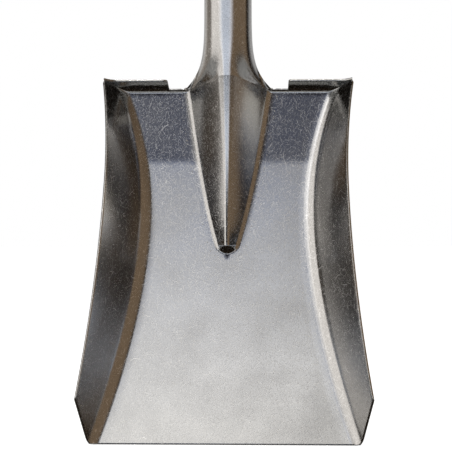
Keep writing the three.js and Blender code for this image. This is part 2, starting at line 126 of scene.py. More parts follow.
class FrogSizes(bpy.types.PropertyGroup):
    """The hollow ridge that carries the socket's line down into the pan."""

    tip_height: length("Tip Height", 168, "Height of its lower end above the mouth")
    tip_half: length("Tip Half", 8.2, "Half the width of its lower end")
    tip_rise: length("Tip Rise", 6, "Height of its lower end above the floor")
    tip_length: length("Tip Length", 6.5, "Length over which the lower end rises")
    neck_half: length("Neck Half", 39, "Half the width at the neck")
    fillet: length("Fillet", 7, "Fillet between the ridge and the floor")
    nose: length("Nose", 3.5, "Radius along the crest, near its lower end")
    neck_nose: length("Neck Nose", 11, "Radius along the crest, at the neck")


class SocketSizes(bpy.types.PropertyGroup):
    """The tapered tube, its foot and the plate behind it."""

    lean: degrees("Lean", 17, "How far the shaft leans forward of the pan")
    waist_radius: length("Waist Radius", 20.6, "Outside radius above the flare")
    mouth_radius: length("Mouth Radius", 21.4, "Outside radius at the open end")
    wall: length("Wall", 1.8, "Thickness of the tube's wall")
    length: length("Length", 218, "From the neck to the open end, along the shaft")
    flare_length: length("Flare Length", 11.7, "Height over which the flare falls to about a third")
    turn_length: length("Turn Length", 55, "Height over which the sections turn square to the shaft")
    lip_round: length("Lip Round", 0.7, "Rounding of the open end")
    seam_depth: length("Seam Depth", 0.45, "Depth of the closed seam up the back")
    seam_half: length("Seam Half", 0.9, "Half the width of the seam up the back")
    weld_gap: length("Weld Gap", 0.3, "Space that the welds fill between pieces")
    plate_thickness: length("Plate Thickness", 1.6, "Thickness of the plate behind the frog")
    plate_overlap: length("Plate Overlap", 5, "How far the plate reaches beyond the frog's edge")
    plate_swell: length("Plate Swell", 2.7, "Swell of the plate's upper end")
    bead_pitch: length("Bead Pitch", 1.7, "Distance from one ripple of a weld to the next")
    bead_radius: length("Bead Radius", 2.3, "Radius of a weld's ripples")


class ShaftSizes(bpy.types.PropertyGroup):
    """The ash shaft and the Y that its split end makes. Heights are up the shaft, from the neck."""

    foot_height: length("Foot Height", 46, "Height of the shaft's foot inside the socket")
    end_radius: length("End Radius", 16.5, "Radius of the foot's end")
    fit: length("Fit", 0.3, "Clearance in the socket's bore")
    shoulder_radius: length("Shoulder Radius", 20.4, "Radius just above the socket")
    shoulder_length: length("Shoulder Length", 26, "Length over which the shaft leaves the socket")
    grip_radius: length("Grip Radius", 18.8, "Radius through the middle of its length")
    throat_height: length("Throat Height", 512, "Where the split starts")
    crossbar_height: length("Crossbar Height", 672, "Height of the crossbar's centre line")
    top_margin: length("Top Margin", 17, "Wood above the crossbar's centre line")
    spread: length("Spread", 130, "Width over the two arms at the crossbar")
    arm_thickness: length("Arm Thickness", 15, "Thickness of each arm at the crossbar")
    arm_width: length("Arm Width", 31, "Width of each arm at the crossbar")
    arm_crown: length("Arm Crown", 1.3, "How far the arms' inner edges are eased back")
    kerf: length("Kerf", 1.6, "Saw cut between the arms at the throat")
    bar_radius: length("Crossbar Radius", 15.5, "Radius of the crossbar's middle")
    bar_end_radius: length("Crossbar End Radius", 13.5, "Radius of the crossbar's ends")
    bar_end_gap: length("Crossbar End Gap", 0.3, "Gap between the crossbar and each arm")
    bar_end_round: length("Crossbar End Round", 1.5, "Rounding of the crossbar's ends")
    groove_inset: length("Groove Inset", 7, "Distance of the crossbar's turned grooves from its ends")
    groove_depth: length("Groove Depth", 0.5, "Depth of the grooves")
    groove_width: length("Groove Half Width", 0.7, "Half the width of the grooves")


class RivetSizes(bpy.types.PropertyGroup):
    """The rivets through the handle and the socket, and the washers under their heads."""

    radius: length("Radius", 3, "Radius of the handle rivets' shanks")
    head_radius: length("Head Radius", 6, "Radius of the handle rivets' heads")
    head_rise: length("Head Rise", 2.2, "Height of the handle rivets' heads")
    seat_gap: length("Seat Gap", 0.3, "Gap under each washer and head")
    washer_radius: length("Washer Radius", 8.5, "Outside radius of the washers")
    washer_thickness: length("Washer Thickness", 1.4, "Thickness of the washers")
    throat_drop: length("Throat Drop", 16, "How far the throat rivet lies below the split")
    socket_radius: length("Socket Rivet Radius", 2.5, "Radius of the socket rivets' shanks")
    socket_head_radius: length("Socket Head Radius", 5.5, "Radius of the socket rivets' heads")
    socket_head_rise: length("Socket Head Rise", 1.8, "Height of the socket rivets' heads")
    socket_flat: length("Socket Head Rim", 0.6, "Height of the socket rivets' rims")
    socket_lower: length("Lower Rivet", 128, "Height of the lower socket rivet")
    socket_upper: length("Upper Rivet", 184, "Height of the upper socket rivet")


SWELL_SHARE = 0.5  # where along the shaft it is slimmest
FOOT_EASE = 0.15  # share of its radius over which the shaft's foot is eased
FOOT_END = 0.93  # radius of the shaft's foot after that, against its full one
TIP_EASE = 0.22  # how much thinner an arm of the Y gets at its tip
RIM_BOW_SHARE = 1.75  # power of the rims' outline below the waist
CREASE_BOW_SHARE = 1.7  # power of the creases' line below the waist
BARE_BEND_SHARE = 0.56  # part of the right angle that the bare top edge is bent through
FROG_SPREAD_SHARE = 0.77  # power of the frog's outline
CORNER_POWER = 3  # how squarely wall, frog and bend meet
LOW, HIGH = 0.3, 0.7  # nearly all the values of a noise lie between these
MEAN = (0.5, 0.5, 0.5)  # mean of a random colour
CLOUD_SIZE = 6.25 * MM  # size of the soft patches on rivets, washers and welds
NOTCH_EDGE = 0.2 * MM  # how far the columns on either side of a tread's end stand off it


def mix(a, b, share):
    return a + (b - a) * share


def smooth(share):
    held = np.clip(share, 0, 1)
    return held * held * (3 - 2 * held)


def place(x, depth, z):
    """Points from their places across, in front of the mouth's edge, and up."""
    return np.stack(np.broadcast_arrays(x, -np.asarray(depth, float), z), axis=-1)


class HeadForm:
    """The head's surfaces as functions of place, from the sizes that the user set."""

    def __init__(self, scene):
        self.pan, self.tread = scene.shovel_pan, scene.shovel_tread
        self.frog, self.socket = scene.shovel_frog, scene.shovel_socket
        pan, tread, frog, socket = self.pan, self.tread, self.frog, self.socket
        self.bend_start = pan.length - pan.thickness - tread.bend_radius
        self.bend_length = tread.bend_radius * math.pi / 2
        bare_turn = BARE_BEND_SHARE * math.pi / 2
        self.neck_height = self.bend_start + tread.bend_radius * math.sin(bare_turn)
        self.foot_back = pan.thickness + socket.weld_gap + socket.plate_thickness + socket.plate_swell
        self.neck_rise = 2 * socket.waist_radius / math.cos(socket.lean) - self.foot_back
        self.frog_length = self.neck_height - frog.tip_height
        climb = self.frog_length * math.tan(socket.lean)
        self.crest_bow = climb / (self.neck_rise - frog.tip_rise) - 1
        self.socket_base = self.neck_height + socket.weld_gap
        self.plate_bottom = frog.tip_height - socket.plate_overlap
        waist = socket.waist_radius / math.cos(socket.lean)
        self.axis_depth = float(self.floor_depth(self.neck_height)) - self.foot_back + waist

    def rim_half(self, z):
        """Half the width inside the rims, with the mouth's corners cut and rounded."""
        pan = self.pan
        above = np.clip((z - pan.waist_height) / (pan.length - pan.waist_height), 0, None)
        below = np.clip((pan.waist_height - z) / (pan.waist_height - pan.cut_height), 0, 1)
        upper = mix(pan.waist, pan.top, above**2)
        lower = mix(pan.waist, pan.widest, below**RIM_BOW_SHARE)
        inside = np.clip(pan.corner_radius - z, 0, None)
        rounding = pan.corner_radius - np.sqrt(pan.corner_radius**2 - inside**2)
        cut = mix(pan.mouth, pan.widest, z / pan.cut_height) - rounding
        return np.where(z >= pan.waist_height, upper, np.where(z >= pan.cut_height, lower, cut)) / 2

    def crease_half(self, z):
        """Half the width of the flat floor."""
        pan = self.pan
        up = np.clip((z - pan.crease_waist_height) / (pan.length - pan.crease_waist_height), 0, None)
        down = np.clip((pan.crease_waist_height - z) / pan.crease_waist_height, 0, None)
        upper = mix(pan.crease_waist, pan.crease_top, up**2)
        return np.where(down > 0, mix(pan.crease_waist, pan.crease_mouth, down**CREASE_BOW_SHARE), upper) / 2

    def draw(self, z):
        """How far the floor lies behind its even dish, most at the shallow crease below the treads."""
        z, crease = np.asarray(z), self.pan.draw_height
        above = (self.neck_height - z) / (self.neck_height - crease)
        return self.pan.draw * np.where(z < crease, 1 - (1 - z / crease) ** 2, np.clip(above, 0, 1))

    def floor_depth(self, z):
        pan = self.pan
        dish = pan.dish * (1 - (2 * np.asarray(z) / pan.length - 1) ** 2)
        return pan.thickness / 2 - dish - self.draw(z)

    def frog_share(self, z):
        """Share of the frog's length at this height."""
        return np.clip((z - self.frog.tip_height) / self.frog_length, 0, 1)

    def frog_half(self, z):
        return mix(self.frog.tip_half, self.frog.neck_half, self.frog_share(z) ** FROG_SPREAD_SHARE)

    def plate_half(self, z):
        """Half the width of the plate behind the frog, which has a round lower end."""
        overlap = self.socket.plate_overlap
        share = np.minimum(1, (z - self.plate_bottom) / (overlap * 2))
        return (self.frog_half(z) + overlap) * np.sqrt(1 - (1 - share) ** 2)

    def frog_rise(self, z, share):
        """Height of the frog's crest, which rises behind a rounded tip and then runs in the socket's line."""
        frog = self.frog
        along = (z - frog.tip_height) / self.frog_length
        rise = mix(frog.tip_rise, self.neck_rise, along + self.crest_bow * along * (along - 1))
        tip_round = frog.tip_half * (1 - np.sqrt(1 - np.minimum(share, 1) ** 2))
        return rise * smooth((z - frog.tip_height - tip_round) / frog.tip_length)

    def nose(self, z):
        """Radius along the frog's crest."""
        return mix(self.frog.nose, self.frog.neck_nose, self.frog_share(z) ** 2)

    def crest_point(self, half, rise, nose, share):
        """Place across and height on a rounded crest with straight flanks that run out in fillets, share of
        the way to its edge."""
        flat = rise < half / 1000
        lifted = np.where(flat, half, rise)
        unbroken = 2 * np.arctan(lifted / half)
        both = half / np.sin(unbroken)
        inner = np.minimum(self.frog.fillet, both / 2)
        outer = np.minimum(nose, both - inner)
        both = outer + inner
        turn = np.arcsin(both / np.hypot(half, both - lifted)) - np.arctan2(both - lifted, half)
        turn = np.where(outer < nose, unbroken, turn)
        flank = np.maximum(0, (half - both * np.sin(turn)) / np.cos(turn))
        flank = np.where(outer < nose, 0, flank)
        gone = share * (turn * both + flank)
        down = np.clip(gone - turn * outer, 0, flank)
        left = turn - np.clip(gone - turn * outer - flank, 0, None) / inner
        crest = gone <= turn * outer
        foot_x = half - inner * np.sin(left) - (flank - down) * np.cos(turn)
        foot_depth = inner * (1 - np.cos(left)) + (flank - down) * np.sin(turn)
        x = np.where(crest, outer * np.sin(gone / outer), foot_x)
        depth = np.where(crest, lifted - outer * (1 - np.cos(gone / outer)), foot_depth)
        return np.where(flat, half * share, x), np.where(flat, 0, depth)

    def side_run(self, z):
        """Turn of the crease and length of the straight wall above it."""
        pan = self.pan
        width = self.rim_half(z) - self.crease_half(z)
        bend = np.minimum(pan.wall_angle, np.arcsin(np.minimum(1, width / pan.crease_radius)))
        wall = (width - pan.crease_radius * np.sin(bend)) / math.cos(pan.wall_angle)
        return bend, np.maximum(0, wall)

    def side_point(self, z, share):
        """Place across and height on the crease and the side wall, share of the way from floor to rim."""
        pan = self.pan
        bend, wall = self.side_run(z)
        run = pan.crease_radius * bend + wall
        gone = share * (run - pan.edge_round)
        turned = np.minimum(gone / pan.crease_radius, bend)
        straight = np.maximum(0, gone - pan.crease_radius * bend)
        x = self.crease_half(z) + pan.crease_radius * np.sin(turned) + straight * math.cos(pan.wall_angle)
        return x, pan.crease_radius * (1 - np.cos(turned)) + straight * math.sin(pan.wall_angle)

    def face(self, u, v):
        """The pan's face. u runs over the frog (0 to 1), the floor (to 2) and the side (to 3); v is length of
        sheet from the mouth."""
        tread = self.tread
        u, v = np.broadcast_arrays(u, v)
        turned = np.clip((v - self.bend_start) / tread.bend_radius, 0, math.pi / 2)
        z = np.minimum(v, self.bend_start) + tread.bend_radius * np.sin(turned)
        forward = tread.bend_radius * (1 - np.cos(turned))
        forward = forward + np.clip(v - self.bend_start - self.bend_length, 0, None)
        side = np.abs(u)
        on_frog = np.minimum(side, 1)
        section = self.frog_half(z), self.frog_rise(z, on_frog), self.nose(z)
        frog_x, frog_depth = self.crest_point(*section, on_frog)
        side_x, side_depth = self.side_point(z, np.clip(side - 2, 0, 1))
        floor_x = mix(self.frog_half(z), self.crease_half(z), side - 1)
        x = np.where(side <= 1, frog_x, np.where(side <= 2, floor_x, side_x))
        lift = np.where(side <= 1, frog_depth, np.where(side <= 2, 0, side_depth))
        depth = (lift**CORNER_POWER + forward**CORNER_POWER) ** (1 / CORNER_POWER)
        # The crease runs out over the frog and up the sides, so that the crest and the rims stay straight.
        on_crest = (1 - on_frog**2) * self.frog_share(z)
        kept = self.draw(z) * np.where(side <= 1, on_crest, np.clip(side - 2, 0, 1))
        return place(np.sign(u) * x, self.floor_depth(z) + kept + depth, z)

    def back(self, u, v):
        """The same point on the back of the sheet, square to its face."""
        du, dv = 0.004, self.pan.thickness / 20  # the steps over which the face's slope is taken
        across = self.face(np.minimum(3, u + du), v) - self.face(np.maximum(-3, u - du), v)
        along = self.face(u, v + dv) - self.face(u, np.maximum(0, v - dv))
        square = np.cross(along, across)
        square /= np.linalg.norm(square, axis=-1, keepdims=True)
        return self.face(u, v) + square * self.pan.thickness

    def axis_point(self, along):
        """The socket's centre line, this far up the shaft from the neck."""
        lean = self.socket.lean
        return place(0, self.axis_depth + along * math.sin(lean), self.socket_base + along * math.cos(lean))

    def foot_point(self, angle, inset):
        """The foot's outline at angles from its front: the frog's section, closed by a shallow bow behind."""
        half = self.frog.neck_half - inset
        share = np.abs(angle) / (math.pi / 2)
        nose = self.frog.neck_nose - inset
        x, depth = self.crest_point(half, self.neck_rise - inset, nose, np.minimum(share, 1))
        x = np.where(share > 1, half * np.sin(angle), np.sign(angle) * x)
        return x, np.where(share > 1, (self.foot_back - inset) * np.cos(angle), depth)

    def socket_ring(self, along, inset, angle):
        """One section of the socket: the foot's outline, and round above the flare."""
        socket = self.socket
        above = max(along, 0.0)
        flare = math.exp(-above / socket.flare_length)
        radius = mix(socket.waist_radius, socket.mouth_radius, above / socket.length)
        turn = socket.lean * float(smooth(above / socket.turn_length))
        forward = np.array([0, -math.cos(turn), -math.sin(turn)])
        foot_x, foot_depth = self.foot_point(angle, inset)
        foot_reach = foot_depth + float(self.floor_depth(self.neck_height)) - self.axis_depth
        seam = socket.seam_depth * np.exp(-(((math.pi - np.abs(angle)) * radius / socket.seam_half) ** 2))
        outside = max(0.0, 1 - inset / socket.wall)
        round_reach = (radius / math.cos(socket.lean - turn) - inset - seam * outside) * np.cos(angle)
        ring = self.axis_point(along) + forward * mix(round_reach, foot_reach, flare)[:, None]
        ring[:, 0] = mix((radius - inset) * np.sin(angle), foot_x, flare)
        return ring


def upright(points, form):
    """Turns the head's points back by the lean, so that the shaft stands upright."""
    c, s = math.cos(form.socket.lean), math.sin(form.socket.lean)
    flat = np.asarray(points, float).reshape(-1, 3)
    return np.stack([flat[:, 0], c * flat[:, 1] + s * flat[:, 2], -s * flat[:, 1] + c * flat[:, 2]], axis=1)


def grid_quads(rows, columns, first=0, round_rows=False, round_columns=False):
    """Faces between neighbouring points of a grid, which may close on itself in either direction."""
    quads = []
    for r in range(rows if round_rows else rows - 1):
        for c in range(columns if round_columns else columns - 1):
            r2, c2 = (r + 1) % rows, (c + 1) % columns
            quads.append([first + i * columns + j for i, j in ((r, c), (r, c2), (r2, c2), (r2, c))])
    return quads


def solid_piece(name, points, faces, material, sharp=40):
    """A closed mesh object at the origin, its faces outwards and smooth up to an angle in degrees."""
    mesh = bpy.data.meshes.new(name)
    mesh.from_pydata([tuple(p) for p in points], [], faces)
    shape = bmesh.new()
    shape.from_mesh(mesh)
    bmesh.ops.remove_doubles(shape, verts=shape.verts, dist=MM / 1000)
    bmesh.ops.dissolve_degenerate(shape, edges=shape.edges, dist=MM / 2000)
    bmesh.ops.recalc_face_normals(shape, faces=shape.faces)
    shape.to_mesh(mesh)
    shape.free()
    mesh.shade_smooth()
    mesh.set_sharp_from_angle(angle=math.radians(sharp))
    mesh.materials.append(material)
    piece = bpy.data.objects.new(name, mesh)
    bpy.context.scene.collection.objects.link(piece)
    return piece


def finish_piece(piece, slot, *nodes):
    """Puts a piece on the body and hides the CAD nodes that it stands for. The slot is not used."""
    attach(piece, BODY)
    if nodes:
        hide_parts(*nodes)
    return piece


def sheet(face, back, rounding):
    """Points and faces of a closed sheet with rounded cut edges. The grids end short of the true edge by the
    rounding, which is one radius for each grid point, and nought where the edge stays square."""
    rows, columns = face.shape[:2]
    loop = [(0, c) for c in range(columns)] + [(r, columns - 1) for r in range(1, rows)]
    loop += [(rows - 1, c) for c in range(columns - 2, -1, -1)] + [(r, 0) for r in range(rows - 2, 0, -1)]
    at = tuple(np.array(loop).T)
    front, rear, radius = face[at], back[at], rounding[at][:, None]
    through = rear - front
    thickness = np.linalg.norm(through, axis=1, keepdims=True)
    through = through / thickness
    tangent = np.roll(front, -1, axis=0) - np.roll(front, 1, axis=0)
    out = np.cross(tangent, through)
    out /= np.linalg.norm(out, axis=1, keepdims=True)
    inner = face[np.clip(at[0], 1, rows - 2), np.clip(at[1], 1, columns - 2)]
    out *= np.where(np.mean(np.sum(out * (front - inner), axis=1)) > 0, 1, -1)
    strips, turns = [front], np.radians([30, 60, 90])
    for start, inwards, angles in ((front, through, turns), (rear, -through, turns[::-1])):
        strips += [start + (out * math.sin(a) + inwards * (1 - math.cos(a))) * radius for a in angles]
    strips.append(rear)
    points = [face.reshape(-1, 3), back.reshape(-1, 3), *strips]
    faces = grid_quads(rows, columns) + grid_quads(rows, columns, first=rows * columns)
    faces += grid_quads(len(strips), len(loop), first=2 * rows * columns, round_columns=True)
    return np.concatenate(points), faces


def steps(start, end, count, ends=True):
    """Evenly spaced values from start, with or without the end."""
    return list(np.linspace(start, end, count + 1)[: None if ends else -1])


def new_material(name):
    """A material with its tree, its shader and the socket that gives the place on the piece."""
    material = bpy.data.materials.new(name)
    material.use_nodes = True
    tree = material.node_tree
    return material, tree, tree.nodes["Principled BSDF"], add(tree, "ShaderNodeTexCoord").outputs["Object"]


def add(tree, kind, sockets=(), **settings):
    """A node with its settings, its inputs set to values or linked to other nodes' outputs."""
    node = tree.nodes.new(kind)
    for name, value in settings.items():
        setattr(node, name, value)
    for key, value in dict(sockets).items():
        value = value.outputs[0] if isinstance(value, bpy.types.Node) else value
        if isinstance(value, bpy.types.NodeSocket):
            tree.links.new(value, node.inputs[key])
        else:
            node.inputs[key].default_value = value
    return node


def dress(tree, shader, tone, rough, height, depth):
    """Links a shader to its colour and its roughness, and to a bump of this depth."""
    bump = add(tree, "ShaderNodeBump", {"Height": height, "Distance": depth}).outputs[0]
    for name, socket in (("Base Color", tone), ("Roughness", rough), ("Normal", bump)):
        tree.links.new(socket, shader.inputs[name])


class SteelFinish(bpy.types.PropertyGroup):
    """Tumbled bright steel, and the plainer steel of the rivets and the welds."""

    base: colour("Steel", "#c5c4c2", "Colour of the bright sheet")
    rough: share_of_one("Roughness", 0.15, "Roughness between the scratches")
    scratch_rough: share_of_one("Scratch Roughness", 0.32, "Roughness inside the scratches")
    scratch_width: length("Scratch Width", 0.25, "Width of the tumbling scratches, coarse enough to show")
    cell: length("Scratch Spacing", 2.2, "Spacing of the finest scratches")
    scratch_depth: length("Scratch Depth", 0.008, "Depth of the scratches")
    grain: length("Grain", 1.111, "Size of the sheet's specks")
    swirl: length("Swirl", 1.25, "Size of the matt swirls that are finer than any scratch")
    cloud: length("Cloud", 45.45, "Size of the soft patches of shine")
    rivet: colour("Rivets", "#c9c8c5", "Colour of the rivets and washers")
    rivet_rough: share_of_one("Rivet Roughness", 0.3, "Roughness of the rivets and washers")
    rivet_grain: length("Rivet Grain", 0.5, "Size of the specks on the rivets and washers")
    rivet_depth: length("Rivet Grain Depth", 0.01, "Depth of those specks")
    weld: colour("Welds", "#b5b2ad", "Colour of the weld metal")
    weld_rough: share_of_one("Weld Roughness", 0.4, "Roughness of the weld metal")
    weld_grain: length("Weld Grain", 0.8, "Size of the specks on the weld metal")
    weld_depth: length("Weld Grain Depth", 0.04, "Depth of those specks")


# Each layer of scratches: its spacing and width against the finest layer's, the reach of a scratch as a share
# of the spacing, its bow, how freely it slopes along each axis, and the shift of its cells in metres.
SCRATCH_LAYERS = (
    (1, 1, 0.7, 0.06, (1, 1, 0.7), (0, 0, 0)),
    (1.3, 1, 0.7, 0.08, (1, 1, 0.7), (0.03, 0.02, 0.05)),
    (2.6, 1.45, 0.6, 0.2, (1, 1, 0.5), (0.013, 0.007, 0.003)),
    (5, 1.4, 0.55, 0.2, (1, 1, 0.35), (0.05, 0.02, 0.01)),
)


def scratches(tree, spot, spacing, width, reach, bow, freedom, shift):
    """A mask of short bowed scratches, one in each cell of a Voronoi pattern. The line in a cell is where the
    surface crosses a plane of random slope through the cell's centre, so it shows on any surface."""
    shifted = add(tree, "ShaderNodeVectorMath", {0: spot, 1: shift}, operation="ADD")
    cells = add(tree, "ShaderNodeTexVoronoi", {"Vector": shifted, "Scale": 1 / spacing}).outputs
    away = add(tree, "ShaderNodeVectorMath", {0: shifted, 1: cells["Position"]}, operation="SUBTRACT")
    slope = add(tree, "ShaderNodeVectorMath", {0: cells["Color"], 1: MEAN}, operation="SUBTRACT")
    slope = add(tree, "ShaderNodeVectorMath", {0: slope, 1: freedom}, operation="MULTIPLY")
    slope = add(tree, "ShaderNodeVectorMath", {0: slope}, operation="NORMALIZE")
    off = add(tree, "ShaderNodeVectorMath", {0: away, 1: slope}, operation="DOT_PRODUCT").outputs["Value"]
    far = add(tree, "ShaderNodeVectorMath", {0: away}, operation="LENGTH").outputs["Value"]
    square = add(tree, "ShaderNodeMath", {0: far, 1: 2.0}, operation="POWER")
    bowed = add(tree, "ShaderNodeMath", {0: square, 1: bow / spacing, 2: off}, operation="MULTIPLY_ADD")
    bowed = add(tree, "ShaderNodeMath", {0: bowed}, operation="ABSOLUTE")
    line = add(tree, "ShaderNodeMapRange", {"Value": bowed, 1: 0.0, 2: width / 2, 3: 1.0, 4: 0.0})
    end = spacing * reach
    ends = add(tree, "ShaderNodeMapRange", {"Value": far, 1: end / 2, 2: end, 3: 1.0, 4: 0.0})
    return add(tree, "ShaderNodeMath", {0: line, 1: ends}, operation="MULTIPLY")


PAINTED_SHEEN = 0.66, 1.22  # painted sheen: brightness of the sheet's colour between its scratches and in them, darker between and lighter in, for the light that the scratches catch


def tumbled_steel(scene):
    """Bright mild steel, tumbled after pressing: satin and silvery, covered in short bowed scratches that lie
    in every direction, the long way of the pan a little more than across it.

    Real tumbling scratches are a few hundredths of a millimetre wide, too fine to show in the render. So they
    are drawn as wide as Scratch Width, and their specks and swirls as coarse as they need to be to show."""
    finish = scene.shovel_steel
    material, tree, shader, spot = new_material("tumbled_bright_steel")
    turned = add(tree, "ShaderNodeMapping", {"Vector": spot, "Rotation": (scene.shovel_socket.lean, 0, 0)})
    lines = 0.0
    for spacing, width, *shape in SCRATCH_LAYERS:
        layer = scratches(tree, turned, finish.cell * spacing, finish.scratch_width * width, *shape)
        lines = add(tree, "ShaderNodeMath", {0: lines, 1: layer}, operation="MAXIMUM")
    swirl = {"Vector": turned, "Scale": 1 / finish.swirl, "Detail": 2.0, "Distortion": 1.5}
    matt = add(tree, "ShaderNodeTexNoise", swirl)
    matt = add(tree, "ShaderNodeMapRange", {"Value": matt, 1: 0.5, 2: 0.65, 3: 0.0, 4: 0.3})
    marks_and_sheen = add(tree, "ShaderNodeMath", {0: lines, 1: matt}, operation="MAXIMUM")
    # The scratches and swirls make the sheet rougher, and they also carry the painted sheen below.
    rough = add(tree, "ShaderNodeMapRange", {"Value": marks_and_sheen, 3: finish.rough, 4: finish.scratch_rough})
    for size, detail, fall, change in ((finish.cloud, 3.0, 0.55, 0.035), (finish.grain, 2.0, 0.6, 0.03)):
        noise = {"Vector": turned, "Scale": 1 / size, "Detail": detail, "Roughness": fall}
        noise = add(tree, "ShaderNodeTexNoise", noise)
        more = add(tree, "ShaderNodeMapRange", {"Value": noise, 1: LOW, 2: HIGH, 3: -change, 4: change})
        rough = add(tree, "ShaderNodeMath", {0: rough, 1: more}, operation="ADD")
    # Painted sheen: the colour is darkened between the scratches and swirls and lightened in them, standing
    # in for the light that they catch.
    painted_sheen = add(tree, "ShaderNodeMapRange", {"Value": marks_and_sheen, 3: PAINTED_SHEEN[0], 4: PAINTED_SHEEN[1]})
    tone = {"Factor": 1.0, "A": (*finish.base, 1), "B": painted_sheen}
    tone = add(tree, "ShaderNodeMix", tone, data_type="RGBA", blend_type="MULTIPLY").outputs["Result"]
    height = add(tree, "ShaderNodeMath", {0: lines, 1: -1.0}, operation="MULTIPLY")
    dress(tree, shader, tone, rough.outputs[0], height, finish.scratch_depth)
    shader.inputs["Metallic"].default_value = 1.0
    return material


class ShapeBlade(bpy.types.Operator):
    """Press the pan, its two treads and the frog from one sheet"""

    bl_idname = "shovel.shape_blade"
    bl_label = "Blade"

    def execute(self, context):
        scene = context.scene
        form = HeadForm(scene)
        pan, tread, frog = form.pan, form.tread, form.frog
        frog_edge, crease = (float(form.face(u, form.bend_start)[0]) for u in (1.0, 2.0))
        floor = crease - frog_edge
        notch = tread.notch / 2 - frog_edge
        bare_end, notch_end = (1 + (notch + off) / floor for off in (-NOTCH_EDGE, NOTCH_EDGE))
        corner = tread.corner / floor
        # The grid's columns, from the crest to the right rim: closer on the crest, beside the frog and in the
        # tread's corner. Their mirror images follow on the left.
        half = steps(0, 0.2, 10, ends=False) + steps(0.2, 1, 26, ends=False)
        half += [1.0, 1.08, 1.16] + steps(1.28, bare_end, 3)
        half += [notch_end + corner * (1 - math.cos(a)) for a in np.linspace(0, math.pi / 2, 6)]
        half += steps(half[-1], 2, 7)[1:] + [2 + s for s in steps(0, 0.96, 22)[1:]] + [3.0]
        u = np.array([-c for c in half[:0:-1]] + half)
        width = np.abs(u)

        # Its rows, from the mouth to the bend, and then over the bend and the treads.
        ridge = frog.tip_height + frog.tip_length + frog.tip_half
        rows = [pan.edge_round, 3 * pan.edge_round] + steps(2 * MM, pan.corner_radius, 3)
        rows += steps(pan.corner_radius, pan.cut_height, 10)[1:]
        rows += steps(pan.cut_height, frog.tip_height, 26)[1:] + steps(frog.tip_height, ridge, 22)[1:]
        rows += steps(ridge, form.bend_start, 46)[1:]
        bend_steps, tread_steps = 12, 8
        beyond = np.linspace(0, 1, bend_steps + tread_steps + 1)[1:]
        # The top edge is rounded, except where the neck is welded to it.
        edge = pan.edge_round * np.clip((width - 1) / 0.15, 0, 1)
        bare = form.bend_length * BARE_BEND_SHARE - edge
        full = form.bend_length + tread.reach - tread.bend_radius - edge
        from_end = np.clip(tread.corner - (width - notch_end) * floor, 0, tread.corner)
        full = full - (tread.corner - np.sqrt(tread.corner**2 - from_end**2))
        share = bend_steps / (bend_steps + tread_steps)
        on_tread = np.where(
            beyond[:, None] <= share,
            form.bend_length * beyond[:, None] / share,
            mix(form.bend_length, full, (beyond[:, None] - share) / (1 - share)),
        )
        on_bare = bare * beyond[:, None]
        onwards = np.where(width < notch_end, on_bare, on_tread) + form.bend_start
        v = np.concatenate([np.repeat(np.array(rows)[:, None], len(u), axis=1), onwards])
        face, back = form.face(u, v), form.back(u, v)
        back[0, :, 2] = face[0, :, 2]
        neck = width <= 1
        back[:, neck, 2] = np.minimum(back[:, neck, 2], form.neck_height)
        rounding = np.full(v.shape, pan.edge_round)
        rounding[-1] = edge
        points, faces = sheet(face, back, rounding)
        blade = solid_piece("bright_blade", upright(points, form), faces, steel(scene))
        finish_piece(blade, "head_steel", "blade")
        return {"FINISHED"}


def steel(scene):
    """The head's bright steel, made once."""
    return bpy.data.materials.get("tumbled_bright_steel") or tumbled_steel(scene)


class ShapeSocket(bpy.types.Operator):
    """Draw the tapered socket, with its flared foot, its rounded lip and the seam up its back"""

    bl_idname = "shovel.shape_socket"
    bl_label = "Socket"

    def execute(self, context):
        scene = context.scene
        form = HeadForm(scene)
        socket = form.socket
        fine = [math.pi - s * socket.seam_half / socket.waist_radius for s in (0, 0.35, 0.7, 1.1, 1.6, 2.4)]
        side = steps(0, fine[-1], 52, ends=False) + fine[::-1]
        angle = np.array([-a for a in side[-2:0:-1]] + side)
        foot = [socket.flare_length * s for s in steps(0, 5, 30)]
        body = steps(foot[-1], socket.length - socket.lip_round, 14)[1:]
        outside = [(-socket.weld_gap, 0.0)] + [(a, 0.0) for a in foot + body]
        lip = [
            (socket.length - socket.lip_round * (1 - math.sin(a)), socket.lip_round * (1 - math.cos(a)))
            for a in np.linspace(0, math.pi / 2, 4)[1:]
        ]
        inner_lip = [(a, socket.wall - i) for a, i in lip[::-1]]
        inside = [(a, socket.wall) for a in (foot + body)[::-1]] + [(-socket.weld_gap, socket.wall)]
        rings = outside + lip + inner_lip + inside
        points = np.concatenate([form.socket_ring(a, inset, angle) for a, inset in rings])
        faces = grid_quads(len(rings), len(angle), round_rows=True, round_columns=True)
        tube = solid_piece("bright_socket", upright(points, form), faces, steel(scene))
        finish_piece(tube, "head_steel", "socket")
        return {"FINISHED"}


class ShapePlate(bpy.types.Operator):
    """Cut the rounded triangle that closes the frog at the back"""

    bl_idname = "shovel.shape_plate"
    bl_label = "Back Plate"

    def execute(self, context):
        scene = context.scene
        form = HeadForm(scene)
        pan, socket = form.pan, form.socket
        rounding = pan.edge_round
        shares = np.array([0, 0.004, 0.01, 0.02, 0.035, 0.055, 0.08, 0.11, 0.15, *steps(0.2, 1, 32)])
        across = np.array([-1, -0.985, -0.95, *steps(-0.88, 0.88, 20), 0.95, 0.985, 1])
        z = mix(form.plate_bottom + rounding, form.neck_height, shares)[:, None]
        half = form.plate_half(z) - rounding
        out = socket.plate_swell * smooth(shares[:, None]) * (1 - across**2)
        inner = pan.thickness + socket.weld_gap
        layers = [
            place(across * half, form.floor_depth(z) - depth - out, z)
            for depth in (inner, inner + socket.plate_thickness)
        ]
        edge = np.full(layers[0].shape[:2], rounding)
        edge[-1] = 0
        points, faces = sheet(*layers, edge)
        plate = solid_piece("bright_back_plate", upright(points, form), faces, steel(scene))
        finish_piece(plate, "head_steel", "back_plate")
        return {"FINISHED"}


